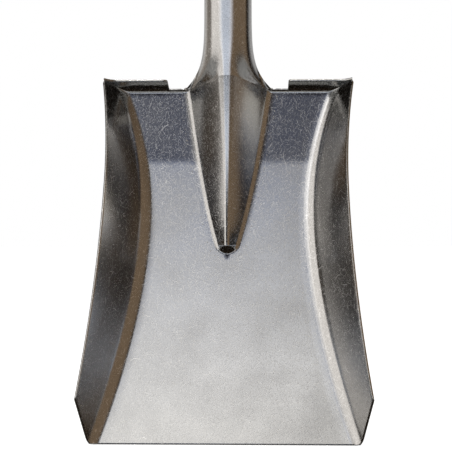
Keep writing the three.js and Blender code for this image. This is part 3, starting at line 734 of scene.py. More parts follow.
class ShaftForm:
    """The shaft's outline, and where its line stands in the row's frame."""

    def __init__(self, scene):
        head = HeadForm(scene)
        self.sizes, self.rivet, self.socket = scene.shovel_shaft, scene.shovel_rivet, head.socket
        self.foot = upright(head.axis_point(0.0), head)[0]

    def radius(self, along):
        """Radius at heights from the foot in the socket to the throat."""
        socket, sizes = self.socket, self.sizes
        bore = mix(socket.waist_radius, socket.mouth_radius, np.minimum(along, socket.length) / socket.length)
        bore = bore - socket.wall - sizes.fit
        above = (along - socket.length) / sizes.shoulder_length
        slim = (along - socket.length) / (sizes.throat_height - socket.length)
        body = mix(sizes.shoulder_radius, sizes.grip_radius, smooth(slim / SWELL_SHARE))
        return mix(bore, body, smooth(above))

    def stand(self, points):
        """Points given from the shaft's foot on its line, moved to their place."""
        return np.asarray(points, float).reshape(-1, 3) + self.foot


def half_section(inner, crown, thick, wide, angles, across):
    """Half of the shaft's section or an arm: round outside and flat inside, with eased corners."""
    round_part = [(inner + crown + (thick - crown) * math.cos(a), wide * math.sin(a)) for a in angles]
    flat_part = [(inner + crown * abs(s) ** 5, wide * s) for s in across]
    return round_part, flat_part


class ShapeShaft(bpy.types.Operator):
    """Turn the ash shaft and split, bend and round the two arms of its Y"""

    bl_idname = "shovel.shape_shaft"
    bl_label = "Shaft"

    def execute(self, context):
        scene = context.scene
        form = ShaftForm(scene)
        sizes, socket = form.sizes, form.socket
        foot = sizes.foot_height
        heights = [foot, foot + FOOT_EASE * sizes.end_radius, foot + 0.5 * sizes.end_radius]
        heights += steps(foot + 2 * sizes.end_radius, socket.length, 8)
        heights += steps(socket.length, socket.length + sizes.shoulder_length, 12)[1:]
        heights += steps(heights[-1], sizes.throat_height, 40)[1:]
        radii = [sizes.end_radius * FOOT_END, sizes.end_radius, float(form.radius(heights[2]))]
        radii += [float(form.radius(h)) for h in heights[3:]]

        count = 33  # points round each half of the shaft and each arm
        slit = sizes.kerf / 2
        points = []
        for height, radius in zip(heights, radii):
            reach = math.acos(slit / radius)
            half = [(radius * math.cos(a), radius * math.sin(a)) for a in np.linspace(-reach, reach, count)]
            points += [(x, y, height) for x, y in half] + [(-x, y, height) for x, y in half[::-1]]
        faces = grid_quads(len(heights), 2 * count, round_columns=True)
        faces.append(list(range(2 * count))[::-1])

        root = float(form.radius(sizes.throat_height))
        straight = sizes.crossbar_height - sizes.top_margin
        top = sizes.crossbar_height + sizes.top_margin
        levels = [sizes.throat_height] + steps(sizes.throat_height, straight, 44)[1:]
        levels += [straight + (top - straight) * math.sin(s) for s in np.linspace(0, math.pi / 2, 19)[1:]]
        across = np.linspace(1, -1, 17)[1:-1]
        slit_reach = math.acos(slit / root)
        first_ring = len(points) - 2 * count
        size = count + len(across)
        for side in (1, -1):
            start = len(points)
            for level in levels:
                bent = float(smooth((level - sizes.throat_height) / (straight - sizes.throat_height)))
                inner = mix(slit, sizes.spread / 2 - sizes.arm_thickness, bent)
                thick = mix(root - slit, sizes.arm_thickness, bent)
                wide = mix(root * math.sin(slit_reach), sizes.arm_width / 2, bent)
                above = max(0.0, level - sizes.crossbar_height) / sizes.top_margin
                wide *= math.sqrt(max(1 - above**2, 0.0)) if above < 1 else 0.0
                ease = 1 - TIP_EASE * above**6
                crown = sizes.arm_crown * float(smooth(bent * 4)) + thick * (1 - ease) / 2
                angles = np.linspace(-math.pi / 2, math.pi / 2, count)
                stout, wide = thick * (1 + ease) / 2, max(wide, MM / 100)
                outer, flat = half_section(inner, crown, stout, wide, angles, across)
                if level == sizes.throat_height:
                    angles = np.linspace(-slit_reach, slit_reach, count)
                    outer = [(root * math.cos(a), root * math.sin(a)) for a in angles]
                points += [(side * x, y, level) for x, y in outer + flat]
            faces += grid_quads(len(levels), size, first=start, round_columns=True)
            faces.append([start + (len(levels) - 1) * size + i for i in range(size)])
        right = first_ring + 2 * count
        left = right + len(levels) * size
        wall = list(range(count - 1, size)) + [0]
        for a, b in zip(wall[:-1], wall[1:]):
            faces.append([right + a, right + b, left + b, left + a])
        shaft = solid_piece("ash_shaft", form.stand(points), faces, ash(scene), sharp=50)
        finish_piece(shaft, "ash_wood", "shaft")
        return {"FINISHED"}


RING_TAPER = 0.045  # how fast the growth rings close along the trunk, against across it


class WoodFinish(bpy.types.PropertyGroup):
    """Lacquered ash."""

    early: colour("Early Wood", "#d9b98a", "Colour of the wood that grows in spring")
    late: colour("Late Wood", "#c49a63", "Colour of the wood that grows in summer")
    pore: colour("Pores", "#8f6a3f", "Colour of the open pores")
    ring_width: length("Ring Width", 3.1, "Width of one year's growth")
    heart: FloatVectorProperty(
        name="Heart", description="Place of the wood's middle line from the trunk's heart",
        default=(28 * MM, 50 * MM, 0), size=3, subtype="XYZ_LENGTH", unit="LENGTH",
    )
    stray: length("Stray", 12, "How far the rings stray from round")
    sway_across: length("Sway Across", 33.33, "Width of one stray of the rings")
    sway_along: length("Sway Along", 312.5, "Length of one stray of the rings")
    pore_across: length("Pore Width", 0.5263, "Width of an open pore")
    pore_along: length("Pore Length", 22.22, "Length of an open pore")
    pore_depth: length("Pore Depth", 0.03, "Depth of an open pore")
    pore_rough: share_of_one("Pore Roughness", 0.6, "Roughness inside the pores")
    rough: share_of_one("Roughness", 0.42, "Roughness of the sanded wood")
    coat: share_of_one("Lacquer", 0.35, "Strength of the clear lacquer's own shine")
    coat_rough: share_of_one("Lacquer Roughness", 0.25, "Roughness of the lacquer")
    shade_across: length("Shade Across", 14.29, "Width of the paler and darker streaks")
    shade_along: length("Shade Along", 250, "Length of the paler and darker streaks")


def ash(scene):
    """Straight-grained ash for the shaft, made once."""
    return bpy.data.materials.get("lacquered_ash") or lacquered_ash("lacquered_ash", scene)


def lacquered_ash(name, scene):
    """Sanded ash under a thin clear lacquer: pale straw wood with darker growth rings, open pores along the
    grain and a soft shine. The pores are drawn twice as wide as real ones, so that they show."""
    finish = scene.shovel_wood
    material, tree, shader, spot = new_material(name)
    along = (0, 0, 0) if name == "lacquered_ash" else (0, math.pi / 2, 0)
    turned = add(tree, "ShaderNodeMapping", {"Vector": spot, "Rotation": along})
    streaks = []
    for across, lengthwise, detail in (
        (finish.sway_across, finish.sway_along, 2.0),
        (finish.pore_across, finish.pore_along, 3.0),
        (finish.shade_across, finish.shade_along, 2.0),
    ):
        drawn = {"Vector": turned, "Scale": (1 / across, 1 / across, 1 / lengthwise)}
        drawn = {"Vector": add(tree, "ShaderNodeMapping", drawn), "Scale": 1.0, "Detail": detail}
        streaks.append(add(tree, "ShaderNodeTexNoise", drawn).outputs)
    sway, fibre, broad = streaks
    sway = add(tree, "ShaderNodeVectorMath", {0: sway["Color"], 1: MEAN}, operation="SUBTRACT")
    stray = (finish.stray, finish.stray, 0.0)
    sway = add(tree, "ShaderNodeVectorMath", {0: sway, 1: stray}, operation="MULTIPLY")
    heart = add(tree, "ShaderNodeVectorMath", {0: turned, 1: finish.heart}, operation="ADD")
    grown = add(tree, "ShaderNodeVectorMath", {0: heart, 1: sway}, operation="ADD")
    flat = add(tree, "ShaderNodeVectorMath", {0: grown, 1: (1.0, 1.0, RING_TAPER)}, operation="MULTIPLY")
    away = add(tree, "ShaderNodeVectorMath", {0: flat}, operation="LENGTH").outputs["Value"]
    rings = add(tree, "ShaderNodeMath", {0: away, 1: 1 / finish.ring_width}, operation="MULTIPLY")
    year = add(tree, "ShaderNodeMath", {0: rings}, operation="FRACT")
    # Summer wood darkens the later half of each year's ring, and the pores lie in its first third.
    late = {"Value": year, 1: 0.45, 2: 1.0, 3: 0.0, 4: 1.0}
    late = add(tree, "ShaderNodeMapRange", late, interpolation_type="SMOOTHSTEP")
    pores = add(tree, "ShaderNodeMapRange", {"Value": fibre[0], 1: 0.56, 2: 0.68, 3: 0.0, 4: 1.0})
    early = add(tree, "ShaderNodeMapRange", {"Value": year, 1: 0.0, 2: 0.35, 3: 1.0, 4: 0.25})
    pores = add(tree, "ShaderNodeMath", {0: pores, 1: early}, operation="MULTIPLY")
    depth = add(tree, "ShaderNodeMath", {0: pores, 1: 0.75}, operation="MULTIPLY")
    shade = add(tree, "ShaderNodeMapRange", {"Value": broad[0], 1: LOW, 2: HIGH, 3: 0.9, 4: 1.06})
    tone = (*finish.early, 1)
    layers = (late, (*finish.late, 1), "MIX"), (1.0, shade, "MULTIPLY"), (depth, (*finish.pore, 1), "MIX")
    for share, over, how in layers:
        mixed = {"Factor": share, "A": tone, "B": over}
        tone = add(tree, "ShaderNodeMix", mixed, data_type="RGBA", blend_type=how).outputs["Result"]
    rough = add(tree, "ShaderNodeMapRange", {"Value": pores, 3: finish.rough, 4: finish.pore_rough})
    height = add(tree, "ShaderNodeMath", {0: pores, 1: -1.0}, operation="MULTIPLY")
    dress(tree, shader, tone, rough.outputs[0], height, finish.pore_depth)
    for setting, value in (("IOR", 1.5), ("Coat Weight", finish.coat), ("Coat Roughness", finish.coat_rough)):
        shader.inputs[setting].default_value = value
    return material


def new_tree(name, **inputs):
    """A geometry tree with these named inputs beside its geometry, with its inputs and its output node."""
    tree = bpy.data.node_groups.new(name, "GeometryNodeTree")
    tree.interface.new_socket("Geometry", in_out="OUTPUT", socket_type="NodeSocketGeometry")
    tree.interface.new_socket("Geometry", in_out="INPUT", socket_type="NodeSocketGeometry")
    for label, kind in {**inputs, "Material": "Material"}.items():
        tree.interface.new_socket(label.replace("_", " "), in_out="INPUT", socket_type="NodeSocket" + kind)
    return tree, tree.nodes.new("NodeGroupInput").outputs, tree.nodes.new("NodeGroupOutput")


def close_tree(tree, given, end, grown):
    """Ends a tree: its instances are made real and take the material."""
    real = add(tree, "GeometryNodeRealizeInstances", {"Geometry": grown})
    painted = add(tree, "GeometryNodeSetMaterial", {"Geometry": real, "Material": given["Material"]})
    tree.links.new(painted.outputs[0], end.inputs[0])
    return tree


def grow(name, tree, points, edges, sharp=40, **values):
    """A plain mesh object that the tree makes from these points and edges, its inputs set by name."""
    mesh = bpy.data.meshes.new(name)
    mesh.from_pydata([tuple(p) for p in points], edges, [])
    piece = bpy.data.objects.new(name, mesh)
    bpy.context.scene.collection.objects.link(piece)
    modifier = piece.modifiers.new(name, "NODES")
    modifier.node_group = tree
    labels = {label.replace("_", " "): value for label, value in values.items()}
    for item in tree.interface.items_tree:
        if item.in_out == "INPUT" and item.name in labels:
            modifier[item.identifier] = labels[item.name]
    graph = bpy.context.evaluated_depsgraph_get()
    piece.data = bpy.data.meshes.new_from_object(piece.evaluated_get(graph), depsgraph=graph)
    piece.modifiers.remove(modifier)
    if not piece.data.polygons:
        raise RuntimeError(f"{name} came out empty")
    piece.data.shade_smooth()
    piece.data.set_sharp_from_angle(angle=math.radians(sharp))
    return piece


def rivet_tree():
    """A shank along each edge and a domed head on both of its ends."""
    tree, given, end = new_tree(
        "rivets", Shank_Radius="Float", Head_Radius="Float", Head_Rise="Float", Head_Rim="Float"
    )
    head_radius, rim_height = given["Head Radius"], given["Head Rim"]
    axes = add(tree, "GeometryNodeMeshToCurve", {"Mesh": given["Geometry"]})
    ring = add(tree, "GeometryNodeCurvePrimitiveCircle", {"Resolution": 24, "Radius": given["Shank Radius"]})
    shank = add(tree, "GeometryNodeCurveToMesh", {"Curve": axes, "Profile Curve": ring, "Fill Caps": True})

    run = add(tree, "GeometryNodeCurvePrimitiveLine", {"End": (0, 0, 1)})
    run = add(tree, "GeometryNodeResampleCurve", {"Curve": run, "Count": 14})
    share = add(tree, "GeometryNodeSplineParameter").outputs["Factor"]
    left = add(tree, "ShaderNodeMath", {0: 1.0, 1: share}, operation="SUBTRACT")
    square = add(tree, "ShaderNodeMath", {0: left, 1: 2.0}, operation="POWER")
    fallen = add(tree, "ShaderNodeMath", {0: 1.0, 1: square}, operation="SUBTRACT")
    height = {0: fallen, 1: given["Head Rise"], 2: rim_height}
    height = add(tree, "ShaderNodeMath", height, operation="MULTIPLY_ADD")
    spot = add(tree, "ShaderNodeCombineXYZ", {"Z": height})
    run = add(tree, "GeometryNodeSetPosition", {"Geometry": run, "Position": spot})
    # The dome ends just short of a point, so that it closes with a cap.
    width = add(tree, "ShaderNodeMath", {0: left, 1: 0.0004}, operation="MAXIMUM")
    width = add(tree, "ShaderNodeMath", {0: width}, operation="SQRT")
    width = add(tree, "ShaderNodeMath", {0: width, 1: head_radius}, operation="MULTIPLY")
    circle = add(tree, "GeometryNodeCurvePrimitiveCircle", {"Resolution": 36, "Radius": 1.0})
    dome = {"Curve": run, "Profile Curve": circle, "Scale": width, "Fill Caps": True}
    dome = add(tree, "GeometryNodeCurveToMesh", dome)
    rim = {"Vertices": 36, "Radius": head_radius, "Depth": rim_height}
    rim = add(tree, "GeometryNodeMeshCylinder", rim)
    half = add(tree, "ShaderNodeMath", {0: rim_height, 1: 0.5}, operation="MULTIPLY")
    up = add(tree, "ShaderNodeCombineXYZ", {"Z": half})
    rim = add(tree, "GeometryNodeTransform", {"Geometry": rim, "Translation": up})
    head = add(tree, "GeometryNodeJoinGeometry", {"Geometry": dome})
    tree.links.new(rim.outputs[0], head.inputs[0])

    sign = add(tree, "ShaderNodeMapRange", {"Value": share, 3: -1.0, 4: 1.0})
    line = add(tree, "GeometryNodeInputTangent")
    facing = add(tree, "ShaderNodeVectorMath", {0: line, "Scale": sign}, operation="SCALE")
    turn = add(tree, "FunctionNodeAlignRotationToVector", {"Vector": facing}, axis="Z")
    heads = add(tree, "GeometryNodeInstanceOnPoints", {"Points": axes, "Instance": head, "Rotation": turn})
    both = add(tree, "GeometryNodeJoinGeometry", {"Geometry": shank})
    tree.links.new(heads.outputs[0], both.inputs[0])
    return close_tree(tree, given, end, both)


def washer_tree():
    """A flat washer with eased edges, square to each edge, on both of its ends."""
    tree, given, end = new_tree(
        "washers", Bore="Float", Radius="Float", Thickness="Float", Edge_Round="Float"
    )
    axes = add(tree, "GeometryNodeMeshToCurve", {"Mesh": given["Geometry"]})
    middle = add(tree, "ShaderNodeMath", {0: given["Bore"], 1: given["Radius"]}, operation="ADD")
    middle = add(tree, "ShaderNodeMath", {0: middle, 1: 0.5}, operation="MULTIPLY")
    breadth = add(tree, "ShaderNodeMath", {0: given["Radius"], 1: given["Bore"]}, operation="SUBTRACT")
    ring = add(tree, "GeometryNodeCurvePrimitiveCircle", {"Resolution": 48, "Radius": middle})
    section = {"Width": breadth, "Height": given["Thickness"]}
    section = add(tree, "GeometryNodeCurvePrimitiveQuadrilateral", section)
    section = {"Curve": section, "Count": 3, "Radius": given["Edge Round"]}
    section = add(tree, "GeometryNodeFilletCurve", section, mode="POLY")
    washer = add(tree, "GeometryNodeCurveToMesh", {"Curve": ring, "Profile Curve": section})
    line = add(tree, "GeometryNodeInputTangent")
    turn = add(tree, "FunctionNodeAlignRotationToVector", {"Vector": line}, axis="Z")
    put = add(tree, "GeometryNodeInstanceOnPoints", {"Points": axes, "Instance": washer, "Rotation": turn})
    return close_tree(tree, given, end, put)


RIPPLE_FLAT = 0.8  # length of a weld's ripple along the bead, against its width
RIPPLE_STRAY = 0.12  # how far it turns off the bead's line, as a slope
RIPPLE_GIRTH = 0.88, 1.08  # least and greatest size of one, against their usual size


def weld_tree():
    """Overlapping ripples of weld metal along each edge, no two quite alike."""
    tree, given, end = new_tree("weld_beads", Pitch="Float", Radius="Float", Seed="Int")
    path = add(tree, "GeometryNodeMeshToCurve", {"Mesh": given["Geometry"]})
    path = add(tree, "GeometryNodeResampleCurve", {"Curve": path, "Length": given["Pitch"]}, mode="LENGTH")
    ripple = add(tree, "GeometryNodeMeshUVSphere", {"Segments": 12, "Rings": 8, "Radius": given["Radius"]})
    ripple = add(tree, "GeometryNodeTransform", {"Geometry": ripple, "Scale": (1, 1, RIPPLE_FLAT)})
    line = add(tree, "GeometryNodeInputTangent")
    stray = {0: (-RIPPLE_STRAY,) * 3, 1: (RIPPLE_STRAY,) * 3, "Seed": given["Seed"]}
    stray = add(tree, "FunctionNodeRandomValue", stray, data_type="FLOAT_VECTOR")
    facing = add(tree, "ShaderNodeVectorMath", {0: line, 1: stray}, operation="ADD")
    turn = add(tree, "FunctionNodeAlignRotationToVector", {"Vector": facing}, axis="Z")
    girth = {2: RIPPLE_GIRTH[0], 3: RIPPLE_GIRTH[1], "Seed": given["Seed"]}
    girth = add(tree, "FunctionNodeRandomValue", girth, data_type="FLOAT").outputs["Value"]
    put = {"Points": path, "Instance": ripple, "Rotation": turn, "Scale": girth}
    put = add(tree, "GeometryNodeInstanceOnPoints", put)
    return close_tree(tree, given, end, put)


def crossbar_tree():
    """A turned bar along X: a shallow barrel with eased ends and a fine groove near each end."""
    tree, given, end = new_tree(
        "turned_crossbar",
        Half_Length="Float", Middle_Radius="Float", End_Radius="Float", End_Round="Float",
        Groove_Place="Float", Groove_Depth="Float", Groove_Width="Float",
    )
    path = add(tree, "GeometryNodeMeshToCurve", {"Mesh": given["Geometry"]})
    path = add(tree, "GeometryNodeResampleCurve", {"Curve": path, "Count": 161})
    place_on = add(tree, "GeometryNodeInputPosition")
    across = add(tree, "ShaderNodeSeparateXYZ", {0: place_on}).outputs["X"]
    out = add(tree, "ShaderNodeMath", {0: across}, operation="ABSOLUTE")
    share = add(tree, "ShaderNodeMath", {0: out, 1: given["Half Length"]}, operation="DIVIDE")
    square = add(tree, "ShaderNodeMath", {0: share, 1: 2.0}, operation="POWER")
    barrel = {"Value": square, 3: given["Middle Radius"], 4: given["End Radius"]}
    barrel = add(tree, "ShaderNodeMapRange", barrel)
    spare = add(tree, "ShaderNodeMath", {0: given["Half Length"], 1: out}, operation="SUBTRACT")
    inside = add(tree, "ShaderNodeMath", {0: given["End Round"], 1: spare}, operation="SUBTRACT")
    inside = add(tree, "ShaderNodeMath", {0: inside, 1: 0.0}, operation="MAXIMUM")
    inside = add(tree, "ShaderNodeMath", {0: inside, 1: 2.0}, operation="POWER")
    whole = add(tree, "ShaderNodeMath", {0: given["End Round"], 1: 2.0}, operation="POWER")
    rest = add(tree, "ShaderNodeMath", {0: whole, 1: inside}, operation="SUBTRACT")
    rest = add(tree, "ShaderNodeMath", {0: rest}, operation="SQRT")
    drop = add(tree, "ShaderNodeMath", {0: given["End Round"], 1: rest}, operation="SUBTRACT")
    near = add(tree, "ShaderNodeMath", {0: out, 1: given["Groove Place"]}, operation="SUBTRACT")
    near = add(tree, "ShaderNodeMath", {0: near}, operation="ABSOLUTE")
    groove = {"Value": near, 2: given["Groove Width"], 3: given["Groove Depth"], 4: 0.0}
    groove = add(tree, "ShaderNodeMapRange", groove, interpolation_type="SMOOTHSTEP")
    cut = add(tree, "ShaderNodeMath", {0: drop, 1: groove}, operation="ADD")
    radius = add(tree, "ShaderNodeMath", {0: barrel, 1: cut}, operation="SUBTRACT")
    circle = add(tree, "GeometryNodeCurvePrimitiveCircle", {"Resolution": 72, "Radius": 1.0})
    bar = {"Curve": path, "Profile Curve": circle, "Scale": radius, "Fill Caps": True}
    bar = add(tree, "GeometryNodeCurveToMesh", bar)
    return close_tree(tree, given, end, bar)


class ShapeCrossbar(bpy.types.Operator):
    """Turn the wooden bar that the hand holds"""

    bl_idname = "shovel.shape_crossbar"
    bl_label = "Crossbar"

    def execute(self, context):
        scene = context.scene
        form = ShaftForm(scene)
        sizes = form.sizes
        half = sizes.spread / 2 - sizes.arm_thickness - sizes.bar_end_gap
        bar = grow(
            "ash_crossbar", crossbar_tree(), [(-half, 0, 0), (half, 0, 0)], [(0, 1)],
            Half_Length=half, Middle_Radius=sizes.bar_radius, End_Radius=sizes.bar_end_radius,
            End_Round=sizes.bar_end_round, Groove_Place=half - sizes.groove_inset,
            Groove_Depth=sizes.groove_depth, Groove_Width=sizes.groove_width,
            Material=lacquered_ash("lacquered_ash_crossbar", scene),
        )
        bar.data.transform(Matrix.Translation(form.stand([0, 0, sizes.crossbar_height])[0]))
        finish_piece(bar, "ash_wood", "grip_crossbar")
        return {"FINISHED"}


def bend_to(mesh, centre, radius, across):
    """Bends what stands on a round surface to it: points move in by the surface's fall beside its middle."""
    for vertex in mesh.vertices:
        off = vertex.co - Vector(centre)
        beside = min(abs(off[across]), radius * 0.9)
        fall = radius - math.sqrt(radius**2 - beside**2)
        outward = 1 - across
        vertex.co[outward] -= math.copysign(fall, off[outward])


class SetRivets(bpy.types.Operator):
    """Set the rivets through the grip, throat and socket, and the washers under the handle's rivets"""

    bl_idname = "shovel.set_rivets"
    bl_label = "Rivets and Washers"

    def execute(self, context):
        scene = context.scene
        form = ShaftForm(scene)
        sizes, rivet, socket = form.sizes, form.rivet, form.socket
        heads, washers = rivet_tree(), washer_tree()
        throat = sizes.throat_height - rivet.throat_drop
        stack = rivet.washer_thickness + rivet.seat_gap
        rims = rivet.seat_gap * 2
        for name, half, along, bent in (
            ("grip", sizes.spread / 2, sizes.crossbar_height, False),
            ("throat", float(form.radius(throat)), throat, True),
        ):
            centre = form.stand([0, 0, along])[0]
            seat, middle = half + stack, half + stack / 2
            pin = grow(
                name + "_rivet_set", heads, centre + [(-seat, 0, 0), (seat, 0, 0)], [(0, 1)],
                Shank_Radius=rivet.radius, Head_Radius=rivet.head_radius, Head_Rise=rivet.head_rise,
                Head_Rim=rims, Material=rivet_steel(scene),
            )
            pair = grow(
                name + "_washers", washers, centre + [(-middle, 0, 0), (middle, 0, 0)], [(0, 1)],
                Bore=rivet.radius, Radius=rivet.washer_radius, Thickness=stack, Edge_Round=stack / 5,
                Material=rivet_steel(scene),
            )
            if bent:
                bend_to(pair.data, centre, half, across=1)
            finish_piece(pin, "rivet_steel", name + "_rivet")
            finish_piece(pair, "rivet_steel", name + "_washer_left", name + "_washer_right")
        for name, along in (("lower", rivet.socket_lower), ("upper", rivet.socket_upper)):
            centre = form.stand([0, 0, along])[0]
            seat = mix(socket.waist_radius, socket.mouth_radius, along / socket.length)
            pin = grow(
                "socket_rivet_" + name + "_set", heads, centre + [(0, -seat, 0), (0, seat, 0)], [(0, 1)],
                Shank_Radius=rivet.socket_radius, Head_Radius=rivet.socket_head_radius,
                Head_Rise=rivet.socket_head_rise, Head_Rim=rivet.socket_flat + rivet.seat_gap,
                Material=rivet_steel(scene),
            )
            bend_to(pin.data, centre, seat, across=0)
            finish_piece(pin, "rivet_steel", "socket_rivet_" + name)
        return {"FINISHED"}


class LayWelds(bpy.types.Operator):
    """Lay the weld beads round the back plate and across the back of the neck"""

    bl_idname = "shovel.lay_welds"
    bl_label = "Welds"

    def execute(self, context):
        scene = context.scene
        form = HeadForm(scene)
        pan, socket = form.pan, form.socket
        shares = np.array([0.0005, 0.004, 0.01, 0.02, 0.035, 0.06, *steps(0.1, 0.995, 30)])
        z = mix(form.plate_bottom, form.neck_height, shares)
        depth = form.floor_depth(z) - pan.thickness - socket.weld_gap
        right = place(form.plate_half(z), depth, z)
        round_plate = np.concatenate([right[::-1] * (-1, 1, 1), right])
        angles = np.radians(np.linspace(100, 260, 60))
        angles = np.where(angles > math.pi, angles - 2 * math.pi, angles)
        neck = form.socket_ring(0.0, socket.weld_gap, angles)
        points = np.concatenate([upright(round_plate, form), upright(neck, form)])
        edges = [(i, i + 1) for i in range(len(points) - 1) if i != len(round_plate) - 1]
        beads = grow(
            "weld_beads", weld_tree(), points, edges, sharp=75,
            Pitch=socket.bead_pitch, Radius=socket.bead_radius, Seed=7, Material=weld_steel(scene),
        )
        finish_piece(beads, "head_steel")
        return {"FINISHED"}


def plain_steel(name, base, rough, grain_size, depth):
    """Steel with a fine even grain and a soft cloudiness, and no scratches."""
    material, tree, shader, spot = new_material(name)
    grain = add(tree, "ShaderNodeTexNoise", {"Vector": spot, "Scale": 1 / grain_size, "Detail": 3.0})
    cloud = add(tree, "ShaderNodeTexNoise", {"Vector": spot, "Scale": 1 / CLOUD_SIZE, "Detail": 2.0})
    tone = add(tree, "ShaderNodeMapRange", {"Value": cloud, 1: LOW, 2: HIGH, 3: 0.78, 4: 1.0})
    tone = {"Factor": 1.0, "A": (*base, 1), "B": tone}
    tone = add(tree, "ShaderNodeMix", tone, data_type="RGBA", blend_type="MULTIPLY").outputs["Result"]
    shine = {"Value": grain, 1: LOW, 2: HIGH, 3: rough - 0.06, 4: rough + 0.08}
    shine = add(tree, "ShaderNodeMapRange", shine).outputs[0]
    dress(tree, shader, tone, shine, grain, depth)
    shader.inputs["Metallic"].default_value = 1.0
    return material


def rivet_steel(scene):
    """Bright mild steel of the rivets and washers: cold formed, so smooth, a little duller than the head."""
    name, finish = "bright_rivet_steel", scene.shovel_steel
    look = finish.rivet, finish.rivet_rough, finish.rivet_grain, finish.rivet_depth
    return bpy.data.materials.get(name) or plain_steel(name, *look)


def weld_steel(scene):
    """Tumbled weld metal: greyer than the sheet, with a slightly rough skin."""
    name, finish = "tumbled_weld_steel", scene.shovel_steel
    look = finish.weld, finish.weld_rough, finish.weld_grain, finish.weld_depth
    return bpy.data.materials.get(name) or plain_steel(name, *look)


class StudioSettings(bpy.types.PropertyGroup):
    """The camera's place, the floor and the lights."""

    distance: length("Distance", 1500, "From the mouth's cut edge to the camera")
    height: length("Height", 183.5, "Height of the camera, which looks level")
    swing: degrees("Swing", 2.3, "How far the camera stands to the right of straight ahead")
    aim: degrees("Aim", 0.05, "How far the camera turns right of the mouth's middle")
    lens: FloatProperty(name="Lens", description="Focal length in millimetres", default=142.6, min=1)
    side_power: FloatProperty(name="Side Lamp", description="Lamp on the left", default=12, unit="POWER")
    top_power: FloatProperty(name="Top Lamp", description="Lamp overhead", default=16, unit="POWER")
    floor: colour("Floor", "#e9e9e7", "Colour of the floor")
    floor_reach: length("Floor Reach", 14000, "How far the floor runs to each side")
    floor_lift: share_of_one("Floor Lift", 0.68, "How far the floor is lifted to white for the camera")
    surround: share_of_one("Surround Level", 0.45, "Level of the even light from all round")
    cloth: colour("Cloth", "#2a2119", "Colour of the dark cloth on the floor")
    cloth_near: length("Near Cloth", 500, "Size of the cloth at the shovel's foot, which the treads mirror")
    cloth_gap: length("Far Cloth", 1400, "From the shovel to the cloth further off, which the walls mirror")
    cloth_reach: length("Cloth Reach", 9000, "How far the cloth further off runs")


def lamp(name, spot, target, width, height, watts, painted_sheen="#ffffff"):
    """A soft rectangular lamp that faces a target and doesn't show itself."""
    light = bpy.data.lights.new(name, "AREA")
    light.shape, light.size, light.size_y = "RECTANGLE", width, height
    light.energy, light.color = watts, linear(painted_sheen)
    stand = bpy.data.objects.new(name, light)
    stand.location = spot
    stand.rotation_euler = (Vector(target) - Vector(spot)).to_track_quat("-Z", "Y").to_euler()
    stand.visible_camera = False
    bpy.context.scene.collection.objects.link(stand)
    return stand


# What the bright steel mirrors besides the shovel and the floor: soft boxes before a dark surround. Each has
# the direction of its middle, round from the front and up from the ground, its half size, the softness of its
# edges (all in degrees), its colour and its level.
SOFTBOXES = (
    ("front_sky", (-20, 60), (24, 26.2), (5, 2.4), "#f4f1ea", 2.12),
    ("sky_fringe", (-20.5, 33), (23.5, 3.3), (2, 2), "#9fb0d2", 0.72),
    ("left_fill", (-25, 29), (13, 5), (3, 3), "#f4f1ee", 1.4),
    ("blue_edge", (-4, 29), (8, 5), (4, 3), "#8c96b4", 0.45),
    ("front_low", (-7, 4), (29, 5), (10, 3), "#c6cedc", 2.6),
    ("left_bank", (-59, 16), (27, 21), (8, 5), "#f6f2ee", 1.7),
    ("left_low", (-112, 3), (26, 8), (16, 6), "#efe4d8", 0.5),
    ("right_card", (56, 16), (44, 22), (8, 10), "#8a7660", 1.2),
    ("back_sky", (180, 42), (58, 50), (12, 12), "#e6e6e6", 0.75),
)
SURROUND = "#1c140e"


def soft_band(tree, angle, middle, half, soft):
    """1 near the middle angle and 0 far from it, with a soft step between."""
    off = add(tree, "ShaderNodeMath", {0: angle, 1: math.radians(middle)}, operation="SUBTRACT")
    off = add(tree, "ShaderNodeMath", {0: off, 1: math.pi, 2: -math.pi}, operation="WRAP")
    off = add(tree, "ShaderNodeMath", {0: off}, operation="ABSOLUTE")
    fade = {"Value": off, 1: math.radians(half - soft), 2: math.radians(half + soft), 3: 1.0, 4: 0.0}
    return add(tree, "ShaderNodeMapRange", fade, interpolation_type="SMOOTHSTEP")


def background(scene):
    """A white surround for the camera, the soft boxes for the metal, and an even level for the rest."""
    world = bpy.data.worlds.new("studio_surround")
    world.use_nodes = True
    scene.world = world
    tree = world.node_tree
    direction = add(tree, "ShaderNodeTexCoord").outputs["Generated"]
    parts = add(tree, "ShaderNodeSeparateXYZ", {"Vector": direction}).outputs
    towards = add(tree, "ShaderNodeMath", {0: parts["Y"], 1: -1.0}, operation="MULTIPLY")
    around = add(tree, "ShaderNodeMath", {0: parts["X"], 1: towards}, operation="ARCTAN2")
    up = add(tree, "ShaderNodeMath", {0: parts["Z"]}, operation="ARCSINE")
    mirrored = add(tree, "ShaderNodeVectorMath", {0: linear(SURROUND)}, operation="ABSOLUTE")
    for name, middle, half, soft, sheen, level in SOFTBOXES:
        across = soft_band(tree, around, middle[0], half[0], soft[0])
        upwards = soft_band(tree, up, middle[1], half[1], soft[1])
        share = add(tree, "ShaderNodeMath", {0: across, 1: upwards}, operation="MULTIPLY", label=name)
        glow = {0: share, 1: [level * part for part in linear(sheen)], 2: mirrored}
        mirrored = add(tree, "ShaderNodeVectorMath", glow, operation="MULTIPLY_ADD")
    path = add(tree, "ShaderNodeLightPath").outputs
    seen = {0: path["Is Camera Ray"], 1: path["Is Transmission Ray"]}
    seen = add(tree, "ShaderNodeMath", seen, operation="MAXIMUM")
    level = add(tree, "ShaderNodeMapRange", {"Value": seen, 3: scene.shovel_studio.surround, 4: 1.0})
    tone = {"Factor": path["Is Glossy Ray"], "A": level, "B": mirrored}
    tone = add(tree, "ShaderNodeMix", tone, data_type="RGBA")
    tree.links.new(tone.outputs["Result"], tree.nodes["Background"].inputs["Color"])


